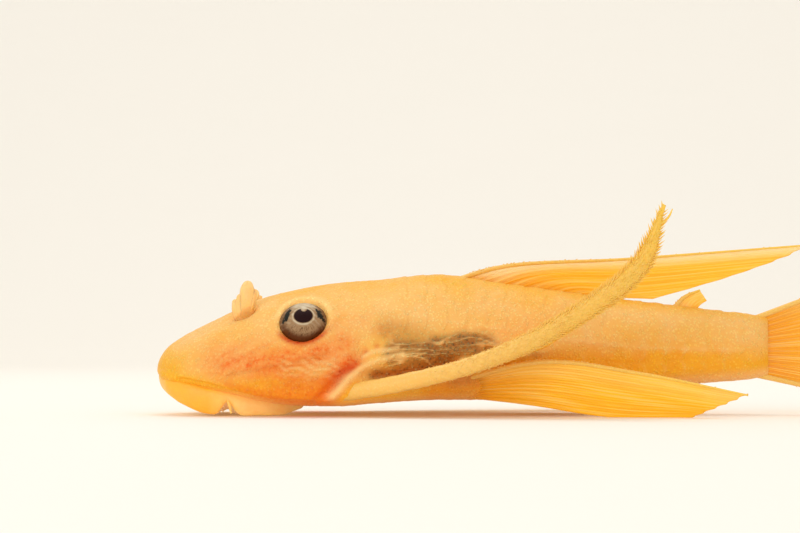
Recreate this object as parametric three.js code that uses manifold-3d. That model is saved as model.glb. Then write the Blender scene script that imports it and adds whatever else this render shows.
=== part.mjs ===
// A golden long-finned bristlenose pleco (Ancistrus), life size, lying on the bottom of its tank.
// Lengths are in millimetres. The fish faces -X, its left side faces -Y and +Z is up.
// It is drawn with its snout tip at x = 0 and the tank bottom at z = 0, and the last lines
// move the whole fish so that the middle of its bounding box stands over the origin.

import * as THREE from "three";
import { mergeVertices } from "three/addons/utils/BufferGeometryUtils.js";
import Module from "manifold-3d";

const wasm = await Module();
wasm.setup();

// Driving dimensions
const STANDARD_LENGTH = 60; // snout tip to the root of the tail fin
const GAP = 0.3; // clear space between neighbouring pieces
const RELIEF_LIFT = 0.32; // height of a scute's rear edge over the one behind it
const TORSO_END = 42; // where the torso hands over to the tail stem
const EYE_RADIUS = 2.67;
const EYE_PROUD = 1.29; // how far the eye's dome stands out of the skin
const EYE_X = 14.9;
const EYE_HEIGHT = 9.28; // height of the middle of the eye's rim
const FIN_WEB = 0.5; // thickness of the skin between two fin rays
const FIN_RAY = 0.8; // thickness over a fin ray
const LEFT = -1;
const RIGHT = 1;

// Body stations: distance from the snout, half width, top, bottom and height of the widest line
const STATIONS = [
  { x: 0, half: 0, top: 4.4, bottom: 4.4, widest: 4.4 },
  { x: 1, half: 3.6, top: 6.6, bottom: 3.6, widest: 4.6 },
  { x: 3, half: 5.9, top: 8.0, bottom: 3.0, widest: 4.3 },
  { x: 6, half: 7.7, top: 9.5, bottom: 2.35, widest: 3.8 },
  { x: 10, half: 9.0, top: 11.4, bottom: 1.5, widest: 3.3 },
  { x: 14.5, half: 9.7, top: 12.55, bottom: 0.95, widest: 3.0 },
  { x: 18, half: 9.9, top: 13.1, bottom: 0.9, widest: 3.1 },
  { x: 22, half: 9.5, top: 13.4, bottom: 1.2, widest: 3.5 },
  { x: 28, half: 8.3, top: 13.9, bottom: 1.5, widest: 4.3 },
  { x: 34, half: 6.9, top: 13.1, bottom: 1.5, widest: 4.9 },
  { x: 40, half: 5.5, top: 12.3, bottom: 1.9, widest: 5.3 },
  { x: 46, half: 4.3, top: 11.5, bottom: 2.4, widest: 5.7 },
  { x: 52, half: 3.2, top: 10.8, bottom: 2.9, widest: 6.1 },
  { x: 57, half: 2.4, top: 10.2, bottom: 3.3, widest: 6.4 },
  { x: STANDARD_LENGTH + 1, half: 1.9, top: 9.9, bottom: 3.6, widest: 6.6 },
];

const clamp01 = (v) => Math.min(1, Math.max(0, v));
const mix = (a, b, f) => a + (b - a) * f;
const smooth = (low, high, v) => {
  const f = clamp01((v - low) / (high - low));
  return f * f * (3 - 2 * f);
};
const bump = (v) => Math.exp(-v * v);

/** A monotone cubic through one column of the stations, smooth in sqrt(x) so that the snout is round. */
function stationCurve(key) {
  const u = STATIONS.map((s) => Math.sqrt(s.x));
  const v = STATIONS.map((s) => s[key]);
  const last = u.length - 1;
  const chord = u.slice(1).map((b, i) => (v[i + 1] - v[i]) / (b - u[i]));
  const slope = u.map((_, i) => {
    if (i === 0 || i === last) return chord[Math.min(i, last - 1)];
    const [a, b] = [chord[i - 1], chord[i]];
    return a * b <= 0 ? 0 : (2 * a * b) / (a + b);
  });
  return (x) => {
    const p = Math.sqrt(Math.max(0, x));
    let i = 0;
    while (i < last - 1 && p > u[i + 1]) i++;
    const h = u[i + 1] - u[i];
    const f = (p - u[i]) / h;
    const [f2, f3] = [f * f, f * f * f];
    return (
      (2 * f3 - 3 * f2 + 1) * v[i] + (f3 - 2 * f2 + f) * h * slope[i] +
      (3 * f2 - 2 * f3) * v[i + 1] + (f3 - f2) * h * slope[i + 1]
    );
  };
}

const halfWidth = stationCurve("half");
const topHeight = stationCurve("top");
const bottomHeight = stationCurve("bottom");
const widestHeight = stationCurve("widest");

/** Angle round the body, -90 degrees under the belly to +90 on the back, where the scutes' lowest row ends. */
const scuteLimit = (x) => mix(-0.42, -1.35, smooth(38, 47, x));

/** Heights and widths of the bare body, before any relief, at angle t. */
function section(x, t) {
  const flat = mix(2.1, 2.3, smooth(30, 50, x));
  const belly = mix(3.6, 2.5, smooth(34, 50, x));
  const n = mix(belly, flat, smooth(-0.35, 0.35, t));
  const [c, s] = [Math.abs(Math.cos(t)), Math.abs(Math.sin(t))];
  const r = (c ** n + s ** n) ** (-1 / n);
  const centre = widestHeight(x);
  const rise = t > 0 ? topHeight(x) - centre : bottomHeight(x) - centre;
  return { y: halfWidth(x) * r * c, z: centre + rise * r * s };
}

/** The slanting gill line, where the head ends: far forward under the throat, upright over the nape. */
const gillLine = (z) => mix(16.6, 22.6, smooth(1.0, 8.0, z));

/** Where angle t meets the gill line. */
function gillLineAt(t) {
  let x = 20;
  for (let i = 0; i < 12; i++) x = gillLine(section(x, t).z);
  return x;
}

/** How far round its row, and along its column, a point on the scutes lies. */
function scuteRelief(row, column) {
  const across = row - Math.floor(row);
  const along = column - Math.floor(column);
  const crown = 1 - (2 * across - 1) ** 4;
  return RELIEF_LIFT * crown * (0.15 + 0.85 * along);
}

/** Soft forms of the head: brow over the eye, cheek, nostril pit and the rim that holds the eye. */
function headRelief(x, t, z) {
  const fade = 1 - smooth(19, 22, x);
  const brow = 0.35 * bump((x - 14.5) / 4) * bump((t - 1.02) / 0.16);
  const cheek = 0.35 * bump((x - 12.5) / 3) * bump((z - 3.6) / 1.6);
  const nostril = -0.75 * bump((x - 8.4) / 0.8) * bump((t - 1.05) / 0.1);
  return (brow + cheek + nostril) * fade * smooth(1, 4, x);
}

/** A point of the body's surface, pushed out along its normal by its relief and by lift. */
function skinPoint(x, t, side, relief, lift) {
  const at = (a, b) => {
    const s = section(a, b);
    return new THREE.Vector3(a, side * s.y, s.z);
  };
  const step = 0.02;
  const p = at(x, t);
  const along = at(x + step, t).sub(at(Math.max(x - step, 0.001), t));
  const round = at(x, t + step).sub(at(x, t - step));
  const normal = along.cross(round).normalize();
  if (normal.y * side < 0) normal.negate();
  if (Math.abs(Math.cos(t)) < 0.02) normal.set(normal.x, 0, Math.sign(Math.sin(t)) * Math.abs(normal.z)).normalize();
  return p.addScaledVector(normal, relief + lift);
}

/** A closed geometry from points and faces, turned so that its faces point outwards. */
function closedGeometry(points, faces) {
  const position = new Float32Array(points.flatMap((p) => [p.x, p.y, p.z]));
  let volume = 0;
  for (const [a, b, c] of faces) {
    volume += points[a].dot(new THREE.Vector3().crossVectors(points[b], points[c]));
  }
  const index = faces.flatMap(([a, b, c]) => (volume < 0 ? [a, c, b] : [a, b, c]));
  const geometry = new THREE.BufferGeometry();
  geometry.setAttribute("position", new THREE.BufferAttribute(position, 3));
  geometry.setIndex(index);
  return geometry;
}

/** The manifold solid of a closed geometry. */
function solidOf(geometry) {
  const bare = new THREE.BufferGeometry();
  bare.setAttribute("position", geometry.getAttribute("position"));
  bare.setIndex(geometry.index);
  const merged = mergeVertices(bare, 1e-4);
  return new wasm.Manifold(
    new wasm.Mesh({
      numProp: 3,
      vertProperties: merged.attributes.position.array,
      triVerts: new Uint32Array(merged.index.array),
    }),
  );
}

/** The geometry of a solid's largest closed body. */
function geometryOf(solid) {
  const bodies = solid.decompose();
  const largest = bodies.reduce((a, b) => (b.volume() > a.volume() ? b : a));
  const mesh = largest.getMesh();
  const count = mesh.numVert;
  const position = new Float32Array(count * 3);
  for (let i = 0; i < count; i++) {
    position.set(mesh.vertProperties.subarray(i * mesh.numProp, i * mesh.numProp + 3), i * 3);
  }
  const geometry = new THREE.BufferGeometry();
  geometry.setAttribute("position", new THREE.BufferAttribute(position, 3));
  geometry.setIndex(new THREE.BufferAttribute(mesh.triVerts, 1));
  geometry.computeVertexNormals();
  return geometry;
}

// Steps round one side: across the bare belly, then three to each row of scutes up to the middle of the back
const SCUTE_ROWS = 5;
const BELLY_STEPS = 3;
const ROW_STEPS = [0.1, 0.5, 0.9];
const SIDE_STEPS = BELLY_STEPS + SCUTE_ROWS * ROW_STEPS.length + 1;

/** The angle of step j at distance x, and how many rows of scutes lie below it (null on the belly). */
function angleAt(j, x) {
  const limit = scuteLimit(x);
  if (j <= BELLY_STEPS) return { t: mix(-Math.PI / 2, limit, j / BELLY_STEPS), row: null };
  if (j === SIDE_STEPS) return { t: Math.PI / 2, row: 0 };
  const k = j - BELLY_STEPS - 1;
  const row = Math.floor(k / ROW_STEPS.length) + ROW_STEPS[k % ROW_STEPS.length];
  return { t: mix(limit, Math.PI / 2, row / SCUTE_ROWS), row };
}

/** Joins rings of points into a closed body. A ring runs from the belly up the left side and down the right. */
function loftRings(rings, tip) {
  const points = rings.flat();
  const faces = [];
  const n = rings[0].length;
  const half = n / 2;
  const quad = (a, b, c, d) => faces.push([a, b, c], [a, c, d]);
  for (let i = 0; i + 1 < rings.length; i++) {
    for (let j = 0; j < n; j++) {
      const k = (j + 1) % n;
      quad(i * n + j, i * n + k, (i + 1) * n + k, (i + 1) * n + j);
    }
  }
  const ladder = (base, flip) => {
    for (let j = 0; j < half; j++) {
      const [a, b, c, d] = [j, j + 1, (n - j - 1) % n, (n - j) % n].map((v) => base + v);
      if (a !== d) faces.push(flip ? [a, d, c] : [a, c, d]);
      if (b !== c) faces.push(flip ? [a, c, b] : [a, b, c]);
    }
  };
  if (tip) {
    const pole = points.push(tip) - 1;
    for (let j = 0; j < n; j++) faces.push([pole, (j + 1) % n, j]);
  } else {
    ladder(0, true);
  }
  ladder((rings.length - 1) * n, false);
  return closedGeometry(points, faces);
}

/** One ring of the body. xAt gives the distance from the snout at an angle, reliefAt the relief there. */
function bodyRing(xAt, reliefAt, lift) {
  const ring = [];
  for (let j = 0; j < 2 * SIDE_STEPS; j++) {
    const side = j <= SIDE_STEPS ? LEFT : RIGHT;
    const level = j <= SIDE_STEPS ? j : 2 * SIDE_STEPS - j;
    let x = 20;
    let angle;
    for (let i = 0; i < 6; i++) {
      angle = angleAt(level, x);
      x = xAt(angle.t, angle.row);
    }
    const relief = reliefAt(x, angle.t, angle.row);
    const p = skinPoint(x, angle.t, side, relief, lift);
    if (level === 0 || level === SIDE_STEPS) p.y = 0;
    ring.push(p);
  }
  return ring;
}

const HEAD_RINGS = 26;
const headX = (s, t) => gillLineAt(t) * s;
const headRings = (lift, end) =>
  Array.from({ length: HEAD_RINGS }, (_, i) => {
    const s = ((i + 1) / HEAD_RINGS) ** 1.5;
    return bodyRing(
      (t) => headX(s, t) - (i === HEAD_RINGS - 1 ? end : 0),
      (x, t) => headRelief(x, t, section(x, t).z),
      lift,
    );
  });

/** Samples of one column of scutes: just behind its front edge, its middle and its raised rear edge. */
const COLUMN_STEPS = [0.06, 0.55, 0.95];

/** Rings over a run of scute columns. front and back give the run's ends at an angle. */
function scuteRings(columns, front, back, lift) {
  const along = [0];
  for (let c = 0; c < columns; c++) along.push(...COLUMN_STEPS.map((f) => c + f));
  along.push(columns);
  return along.map((column, i) => {
    const inside = i > 0 && i < along.length - 1;
    return bodyRing(
      (t, row) => {
        const [a, b] = [front(t), back(t)];
        const across = row === null ? 0 : row - Math.floor(row);
        const bow = inside ? 0.3 * (1 - (2 * across - 1) ** 2) - 0.1 : 0;
        return mix(a, b, (column + bow * (row === null ? 0 : 1)) / columns);
      },
      (x, t, row) => (row === null || !inside ? 0 : scuteRelief(row, column)),
      lift,
    );
  });
}

const TORSO_COLUMNS = 10;
const TAIL_COLUMNS = 9;
const torsoRings = (lift) =>
  scuteRings(TORSO_COLUMNS, (t) => gillLineAt(t) + GAP / 2, () => TORSO_END - GAP / 2, lift);
const tailRings = (lift, end) =>
  scuteRings(TAIL_COLUMNS, () => TORSO_END + GAP / 2, () => end, lift);

/** The whole body in one piece, grown by lift: what fins, lips and flaps are cut back from. */
function bodyEnvelope(lift) {
  const rings = [
    ...headRings(lift, 0),
    ...torsoRings(lift).slice(1, -1),
    ...tailRings(lift, STANDARD_LENGTH + lift).slice(1),
  ];
  return solidOf(loftRings(rings, new THREE.Vector3(-lift, 0, topHeight(0))));
}
const keepOut = bodyEnvelope(GAP);

/** The middle of the eye's ball: sunk under the skin so that its dome stands EYE_PROUD over its rim. */
function eyeCentre(side) {
  const centre = widestHeight(EYE_X);
  const rise = (EYE_HEIGHT - centre) / (topHeight(EYE_X) - centre);
  const y = halfWidth(EYE_X) * Math.sqrt(1 - rise * rise);
  const out = new THREE.Vector2(y / halfWidth(EYE_X) ** 2, rise / (topHeight(EYE_X) - centre)).normalize();
  const sunk = EYE_RADIUS - EYE_PROUD;
  return new THREE.Vector3(EYE_X, side * (y - out.x * sunk), EYE_HEIGHT - out.y * sunk);
}

/** A ball, for an eye or for the socket that holds it. */
function ball(centre, radius, segments) {
  const sphere = new THREE.SphereGeometry(radius, segments, Math.round(segments * 0.7));
  sphere.translate(centre.x, centre.y, centre.z);
  sphere.deleteAttribute("normal");
  sphere.deleteAttribute("uv");
  return solidOf(sphere);
}

/** A tapering round bar along a curve, closed at both ends. */
function taperedBar(curve, radiusAt, steps, sides, flatten = 1) {
  const points = [];
  const faces = [];
  for (let i = 0; i <= steps; i++) {
    const f = i / steps;
    const p = curve.getPoint(f);
    const forward = curve.getTangent(f);
    const across = new THREE.Vector3(0, 0, 1).cross(forward).normalize();
    const up = forward.clone().cross(across).normalize();
    for (let j = 0; j < sides; j++) {
      const a = (2 * Math.PI * j) / sides;
      const r = radiusAt(f);
      points.push(
        p.clone().addScaledVector(across, r * flatten * Math.cos(a)).addScaledVector(up, r * Math.sin(a)),
      );
    }
  }
  for (let i = 0; i < steps; i++) {
    for (let j = 0; j < sides; j++) {
      const k = (j + 1) % sides;
      const [a, b, c, d] = [i * sides + j, i * sides + k, (i + 1) * sides + k, (i + 1) * sides + j];
      faces.push([a, b, c], [a, c, d]);
    }
  }
  const ends = [points.push(curve.getPoint(0)) - 1, points.push(curve.getPoint(1)) - 1];
  for (let j = 0; j < sides; j++) {
    const k = (j + 1) % sides;
    faces.push([ends[0], k, j], [ends[1], steps * sides + j, steps * sides + k]);
  }
  return closedGeometry(points, faces);
}

/**
 * A closed fin sheet spanned between rays. Each ray is a curve from root to tip, and stands proud of
 * the web on both faces. Both faces are split into triangles alike.
 */
function finSheet(rays, { steps, ray = FIN_RAY, web = FIN_WEB, tip = 0.45, notch = 0.05, floor = -Infinity }) {
  const columns = 2 * rays.length - 1;
  const middle = [];
  for (let c = 0; c < columns; c++) {
    const [a, b] = [rays[Math.floor(c / 2)], rays[Math.ceil(c / 2)]];
    const reach = c % 2 ? 1 - notch : 1;
    middle.push(
      Array.from({ length: steps + 1 }, (_, k) => {
        const f = (k / steps) * reach;
        return a.getPoint(f).lerp(b.getPoint(f), 0.5);
      }),
    );
  }
  const points = [];
  const id = (c, k, face) => (c * (steps + 1) + k) * 2 + face;
  for (let c = 0; c < columns; c++) {
    for (let k = 0; k <= steps; k++) {
      const across = middle[Math.min(c + 1, columns - 1)][k].clone().sub(middle[Math.max(c - 1, 0)][k]);
      const along = middle[c][Math.min(k + 1, steps)].clone().sub(middle[c][Math.max(k - 1, 0)]);
      const normal = across.cross(along).normalize();
      const thick = mix(c % 2 ? web : ray, c % 2 ? Math.min(web, tip) : tip, k / steps);
      for (const face of [-0.5, 0.5]) {
        const p = middle[c][k].clone().addScaledVector(normal, thick * face);
        p.z = Math.max(p.z, floor);
        points.push(p);
      }
    }
  }
  const faces = [];
  const quad = (a, b, c, d) => faces.push([a, b, c], [a, c, d]);
  for (let c = 0; c + 1 < columns; c++) {
    for (let k = 0; k < steps; k++) {
      quad(id(c, k, 0), id(c + 1, k, 0), id(c + 1, k + 1, 0), id(c, k + 1, 0));
      faces.push(
        [id(c, k, 1), id(c + 1, k + 1, 1), id(c + 1, k, 1)],
        [id(c, k, 1), id(c, k + 1, 1), id(c + 1, k + 1, 1)],
      );
    }
    quad(id(c, 0, 0), id(c, 0, 1), id(c + 1, 0, 1), id(c + 1, 0, 0));
    quad(id(c + 1, steps, 0), id(c + 1, steps, 1), id(c, steps, 1), id(c, steps, 0));
  }
  for (let k = 0; k < steps; k++) {
    quad(id(0, k + 1, 0), id(0, k + 1, 1), id(0, k, 1), id(0, k, 0));
    const end = columns - 1;
    quad(id(end, k, 0), id(end, k, 1), id(end, k + 1, 1), id(end, k + 1, 0));
  }
  return closedGeometry(points, faces);
}

const vec = (x, y, z) => new THREE.Vector3(x, y, z);
const curveThrough = (...points) => new THREE.CatmullRomCurve3(points, false, "centripetal");

/** Sets a solid, or a closed geometry, into the body: its root is cut back to GAP from the skin. */
const rootedSolid = (solid) => geometryOf(solid.subtract(keepOut));
const rooted = (geometry) => rootedSolid(solidOf(geometry));

/** A four-sided spike from its sunk base to its point. */
function spike(base, point, radius) {
  const axis = point.clone().sub(base).normalize();
  const across = vec(0, 1, 0).cross(axis).normalize();
  const over = axis.clone().cross(across);
  const corners = [across, over, across.clone().negate(), over.clone().negate()];
  const points = [...corners.map((d) => base.clone().addScaledVector(d, radius)), point];
  return closedGeometry(points, [[0, 1, 4], [1, 2, 4], [2, 3, 4], [3, 0, 4], [0, 3, 2], [0, 2, 1]]);
}

/** A repeatable draw between 0 and 1 for the nth of a row of like things. */
const draw = (n) => {
  const v = Math.sin(n * 12.9898 + 4.1) * 43758.5453;
  return v - Math.floor(v);
};

// Dorsal fin: a spine and seven soft rays, folded back low over the tail stem
const DORSAL_RAYS = 8;
const DORSAL_START = 28.6;
const DORSAL_END = 42;
function dorsalRay(i) {
  const f = i / (DORSAL_RAYS - 1);
  const root = mix(DORSAL_START, DORSAL_END, f);
  const tipX = mix(65, 49.5, f ** 1.7);
  const tipZ = mix(16.9, 11.5, f ** 1.3);
  const back = topHeight(root);
  const sway = 0.55 * Math.sin(2.4 * f + 0.4);
  const [nearX, halfX] = [mix(root, tipX, 0.16), mix(root, tipX, 0.5)];
  // The last rays lie along the back
  const lying = f ** 3;
  return curveThrough(
    vec(root, 0, back - 0.9),
    vec(nearX, 0.02, mix(mix(back, tipZ, 0.16) + 0.35 - 0.1 * f, topHeight(nearX) - 0.1, lying)),
    vec(halfX, 0.35 * sway, mix(mix(back, tipZ, 0.5) + 0.1 * (1 - f), topHeight(halfX) + 0.1, lying)),
    vec(tipX, sway, tipZ),
  );
}
const dorsalFin = rooted(
  finSheet(Array.from({ length: DORSAL_RAYS }, (_, i) => dorsalRay(i)), { steps: 10, notch: 0.025 }),
);

// Adipose fin: a short slanting spine with a web behind it
function adiposeRay(i) {
  const root = 51.2 + 1.1 * i;
  const back = topHeight(root);
  return curveThrough(vec(root, 0, back - 0.9), vec(root + 1.4 - 0.3 * i, 0, back + 0.75 - 0.25 * i),
    vec(root + 3.0 - 0.75 * i, 0, back + 1.5 - 0.4 * i));
}
const adiposeFin = rooted(finSheet([0, 1, 2].map(adiposeRay), { steps: 5, ray: 0.75, notch: 0.1 }));

// Tail fin: fourteen rays, the lower lobe laid along the tank bottom
const TAIL_RAYS = 14;
function tailRay(i) {
  const f = i / (TAIL_RAYS - 1);
  const rootZ = mix(9.3, 4.1, f);
  const reach = mix(27, 30, f) - 3.6 * Math.sin(Math.PI * f);
  const tipZ = Math.max(0, mix(18.6, -1.2, f));
  const sway = 1.1 * Math.sin(3.0 * f + 0.6);
  const bow = mix(1.2, -1.7, f);
  return curveThrough(
    vec(STANDARD_LENGTH - 1, 0, rootZ),
    vec(STANDARD_LENGTH + 0.33 * reach, 0.25 * sway, Math.max(0, mix(rootZ, tipZ, 0.33) + 0.55 * bow)),
    vec(STANDARD_LENGTH + 0.66 * reach, 0.7 * sway, Math.max(0, mix(rootZ, tipZ, 0.66) + 0.4 * bow)),
    vec(STANDARD_LENGTH + reach, sway + 0.3, tipZ),
  );
}
const tailFin = rooted(
  finSheet(Array.from({ length: TAIL_RAYS }, (_, i) => tailRay(i)), { steps: 9, notch: 0.03, floor: 0 }),
);

// Anal fin: five short rays under the tail stem
function analRay(i) {
  const root = 44.5 + 0.9 * i;
  const belly = bottomHeight(root);
  return curveThrough(vec(root, 0, belly + 0.9), vec(root + 2.6 - 0.2 * i, 0.1, belly - 0.75 + 0.2 * i),
    vec(root + 10.5 - 1.1 * i, 0.35, 0.55 + 0.32 * i));
}
const analFin = rooted(
  finSheet(Array.from({ length: 5 }, (_, i) => analRay(i)), { steps: 8, notch: 0.06, floor: 0.1 }),
);

// Pectoral fins: a stout spine swept back and up, with six soft rays folded in behind it
const PECTORAL_RAYS = 7;
const pectoralPoses = {
  [LEFT]: [[17.9, 8.4, 2.2], [24.2, 11.0, 3.3], [31.8, 12.0, 5.3], [39.3, 13.0, 8.8], [46.7, 13.6, 14.4], [49.0, 14.0, 20.1]],
  [RIGHT]: [[17.9, 8.4, 2.2], [24.2, 11.2, 3.4], [31.6, 13.2, 5.6], [39.0, 15.2, 8.4], [45.8, 16.6, 11.2], [50.0, 17.0, 13.6]],
};
function pectoralSpine(side) {
  return curveThrough(...pectoralPoses[side].map(([x, y, z]) => vec(x, side * y, z)));
}
function pectoralRay(side, i) {
  const spine = pectoralSpine(side);
  const reach = 1 - 0.075 * i;
  const inward = (f) => -side * i * (0.25 + 0.8 * f);
  return curveThrough(
    ...[0, 0.2, 0.4, 0.6, 0.75, 0.88, 1].map((f) => {
      const p = spine.getPoint(f * reach);
      return p.add(vec(0.2 * i * f, inward(f), i * (0.12 - 0.27 * f)));
    }),
  );
}
const pectoralRadius = (f) => mix(0.98, 0.34, f ** 2.2);

/** The spine's odontodes: a row on its upper and on its lower edge, leaning to the tip and longer towards it. */
const ODONTODE_ROW = 13;
function pectoralOdontodes(side) {
  const spine = pectoralSpine(side);
  const spikes = [];
  for (const edge of [-1, 1]) {
    for (let i = 0; i < ODONTODE_ROW; i++) {
      const f = mix(0.44, 0.97, (i + (edge > 0 ? 0.5 : 0)) / (ODONTODE_ROW - 0.5));
      const centre = spine.getPoint(f);
      const forward = spine.getTangent(f);
      const out = vec(forward.z, 0, -forward.x).normalize().multiplyScalar(edge);
      const reach = mix(0.4, 0.75, f) * mix(0.8, 1.2, draw(i + 20 * edge)) + pectoralRadius(f);
      const base = centre.clone().addScaledVector(out, 0.15);
      const point = centre.clone().addScaledVector(out, reach).addScaledVector(forward, 0.75);
      spikes.push(spike(base, point.add(vec(0, side * 0.25 * (draw(i + 7) - 0.5), 0)), 0.26));
    }
  }
  return spikes;
}
function pectoralFin(side) {
  const spine = taperedBar(pectoralSpine(side), pectoralRadius, 18, 8, 0.8);
  const rays = Array.from({ length: PECTORAL_RAYS }, (_, i) => pectoralRay(side, i));
  const sheet = finSheet(rays, { steps: 12, ray: 0.7, notch: 0.03 });
  const pieces = [spine, sheet, ...pectoralOdontodes(side)].map(solidOf);
  return rootedSolid(wasm.Manifold.union(pieces));
}

// Pelvic fins: a spine arched beside the flank, and rays that fan down to the tank bottom
const PELVIC_RAYS = 6;
function pelvicRay(side, i) {
  const f = i / (PELVIC_RAYS - 1);
  return curveThrough(
    vec(26.8 + 1.2 * f, side * (5.7 - 1.4 * f), 2.5 - 0.4 * f),
    vec(mix(37.6, 36.7, f), side * mix(9.6, 8.0, f), mix(5.3, 1.15, f)),
    vec(mix(47.1, 44.6, f), side * mix(11.2, 9.6, f), mix(4.2, 0, f)),
    vec(mix(57.0, 52.0, f), side * mix(12.6, 10.6, f), mix(2.2, 0, f)),
  );
}
const pelvicFin = (side) =>
  rooted(
    finSheet(Array.from({ length: PELVIC_RAYS }, (_, i) => pelvicRay(side, i)), {
      steps: 11, ray: 0.85, notch: 0.025, floor: 0,
    }),
  );

// Lips: a round sucker under the snout, the upper lip rising to the front, flat on the tank bottom behind
const LIP_CENTRE = 7.6;
const LIP_FRONT = 7.35; // reach of the pad before its middle
const LIP_REAR = 6.9; // and behind it
const LIP_WIDTH = 6.7;
const MOUTH_X = 6.9;
function lipUnderside(x, y) {
  const upper = x < 7 ? 3.1 * (1 - x / 7) ** 1.9 : 0;
  const mouth = 1.15 * (1 - smooth(0.75, 1.15, Math.hypot((x - MOUTH_X) / 1.35, y / 3.4)));
  const corner = 1.0 * bump((x - 7.5) / 0.5) * smooth(3.0, 4.6, Math.abs(y));
  const heel = 0.5 * smooth(12.4, 14.5, x);
  return upper + mouth + corner + heel;
}
function lipDisc() {
  const around = 48;
  const radii = [0.14, 0.26, 0.4, 0.54, 0.68, 0.82, 0.94, 1];
  const points = [vec(LIP_CENTRE, 0, lipUnderside(LIP_CENTRE, 0))];
  const faces = [];
  const at = (r, a) => {
    // The front half is a little squarer than a circle
    const [c, s] = [Math.cos(a), Math.sin(a)];
    const n = c < 0 ? 2.3 : 2;
    const out = r * (Math.abs(c) ** n + Math.abs(s) ** n) ** (-1 / n);
    return [LIP_CENTRE + (c < 0 ? LIP_FRONT : LIP_REAR) * out * c, LIP_WIDTH * out * s];
  };
  const rows = radii.map((r) =>
    Array.from({ length: around }, (_, j) => {
      const [x, y] = at(r, (2 * Math.PI * j) / around);
      return points.push(vec(x, y, lipUnderside(x, y) + (r === 1 ? 0.3 : 0))) - 1;
    }),
  );
  rows.push(
    Array.from({ length: around }, (_, j) => {
      const [x, y] = at(1, (2 * Math.PI * j) / around);
      return points.push(vec(x, y, bottomHeight(x) + 0.9)) - 1;
    }),
  );
  const top = points.push(vec(LIP_CENTRE, 0, bottomHeight(LIP_CENTRE) + 0.9)) - 1;
  for (let j = 0; j < around; j++) {
    const k = (j + 1) % around;
    faces.push([0, rows[0][k], rows[0][j]], [top, rows.at(-1)[j], rows.at(-1)[k]]);
    for (let i = 0; i + 1 < rows.length; i++) {
      faces.push([rows[i][j], rows[i][k], rows[i + 1][k]], [rows[i][j], rows[i + 1][k], rows[i + 1][j]]);
    }
  }
  return closedGeometry(points, faces);
}

/** A short barbel that hangs from each corner of the mouth. */
function barbel(side) {
  const curve = curveThrough(vec(7.4, side * 5.2, 1.9), vec(7.8, side * 6.3, 1.3), vec(8.4, side * 7.0, 0.35));
  return taperedBar(curve, (f) => mix(0.38, 0.16, f), 5, 6);
}
const lips = rootedSolid(wasm.Manifold.union([lipDisc(), barbel(LEFT), barbel(RIGHT)].map(solidOf)));

// Nostril flaps: a lobed fringe of skin that stands up from each nostril
function nostrilFlap(side) {
  const angle = 1.02;
  const s = section(8.8, angle);
  const root = vec(8.8, side * s.y, s.z);
  const lobes = [
    { at: -0.95, reach: 1.8, lean: -0.2 },
    { at: -0.35, reach: 2.3, lean: -0.05 },
    { at: 0.35, reach: 3.4, lean: 0.2 },
    { at: 0.85, reach: 2.8, lean: 0.25 },
  ];
  const rays = lobes.map(({ at, reach, lean }) =>
    curveThrough(
      root.clone().add(vec(at, 0, -0.7)),
      root.clone().add(vec(at * 1.1, side * 0.12, 0.5 * reach)),
      root.clone().add(vec(at + lean, side * 0.05, reach)),
    ),
  );
  return rooted(finSheet(rays, { steps: 6, ray: 0.85, web: 0.6, tip: 0.5, notch: 0.1 }));
}

/** The head: the front of the body, with a socket cut for each eye. */
function headSolid() {
  const whole = solidOf(loftRings(headRings(0, GAP / 2), vec(0, 0, topHeight(0))));
  const sockets = [LEFT, RIGHT].map((side) => ball(eyeCentre(side), EYE_RADIUS + GAP, 18));
  return geometryOf(sockets.reduce((solid, socket) => solid.subtract(socket), whole));
}

// Materials
const finish = (colour, roughness) => new THREE.MeshStandardMaterial({ color: colour, roughness, metalness: 0 });
const skinFinish = finish(0xfac47e, 0.45);
const finFinish = finish(0xf7b92e, 0.4);
const lipFinish = finish(0xf2b866, 0.35);
const flapFinish = finish(0xf3c77c, 0.4);
const eyeFinish = finish(0x6f6250, 0.15);

const fish = new THREE.Group();
function addPiece(name, geometry, material) {
  const mesh = new THREE.Mesh(geometry, material);
  mesh.name = name;
  fish.add(mesh);
}

addPiece("head", headSolid(), skinFinish);
addPiece("torso", geometryOf(solidOf(loftRings(torsoRings(0)))), skinFinish);
addPiece("tail_stem", geometryOf(solidOf(loftRings(tailRings(0, STANDARD_LENGTH)))), skinFinish);
addPiece("lips", lips, lipFinish);
addPiece("dorsal_fin", dorsalFin, finFinish);
addPiece("adipose_fin", adiposeFin, finFinish);
addPiece("tail_fin", tailFin, finFinish);
addPiece("anal_fin", analFin, finFinish);
for (const [label, side] of [["left", LEFT], ["right", RIGHT]]) {
  addPiece(`eye_${label}`, geometryOf(ball(eyeCentre(side), EYE_RADIUS, 14)), eyeFinish);
  addPiece(`nostril_flap_${label}`, nostrilFlap(side), flapFinish);
  addPiece(`pectoral_fin_${label}`, pectoralFin(side), finFinish);
  addPiece(`pelvic_fin_${label}`, pelvicFin(side), finFinish);
}

// The middle of the fish's bounding box stands over the origin, on the tank bottom
const bounds = new THREE.Box3().setFromObject(fish);
fish.position.set(-(bounds.min.x + bounds.max.x) / 2, -(bounds.min.y + bounds.max.y) / 2, -bounds.min.z);

export default fish;
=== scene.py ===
"""The looks of a golden long-finned bristlenose pleco, life size, lying on the tank bottom.

Sizes are millimetres along the fish: x runs back from the snout tip, y to its right side and
z up from the tank bottom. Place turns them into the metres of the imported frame.
"""

from __future__ import annotations

import logging
import math
from dataclasses import dataclass, field
from enum import Enum
from typing import Callable, Sequence

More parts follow.
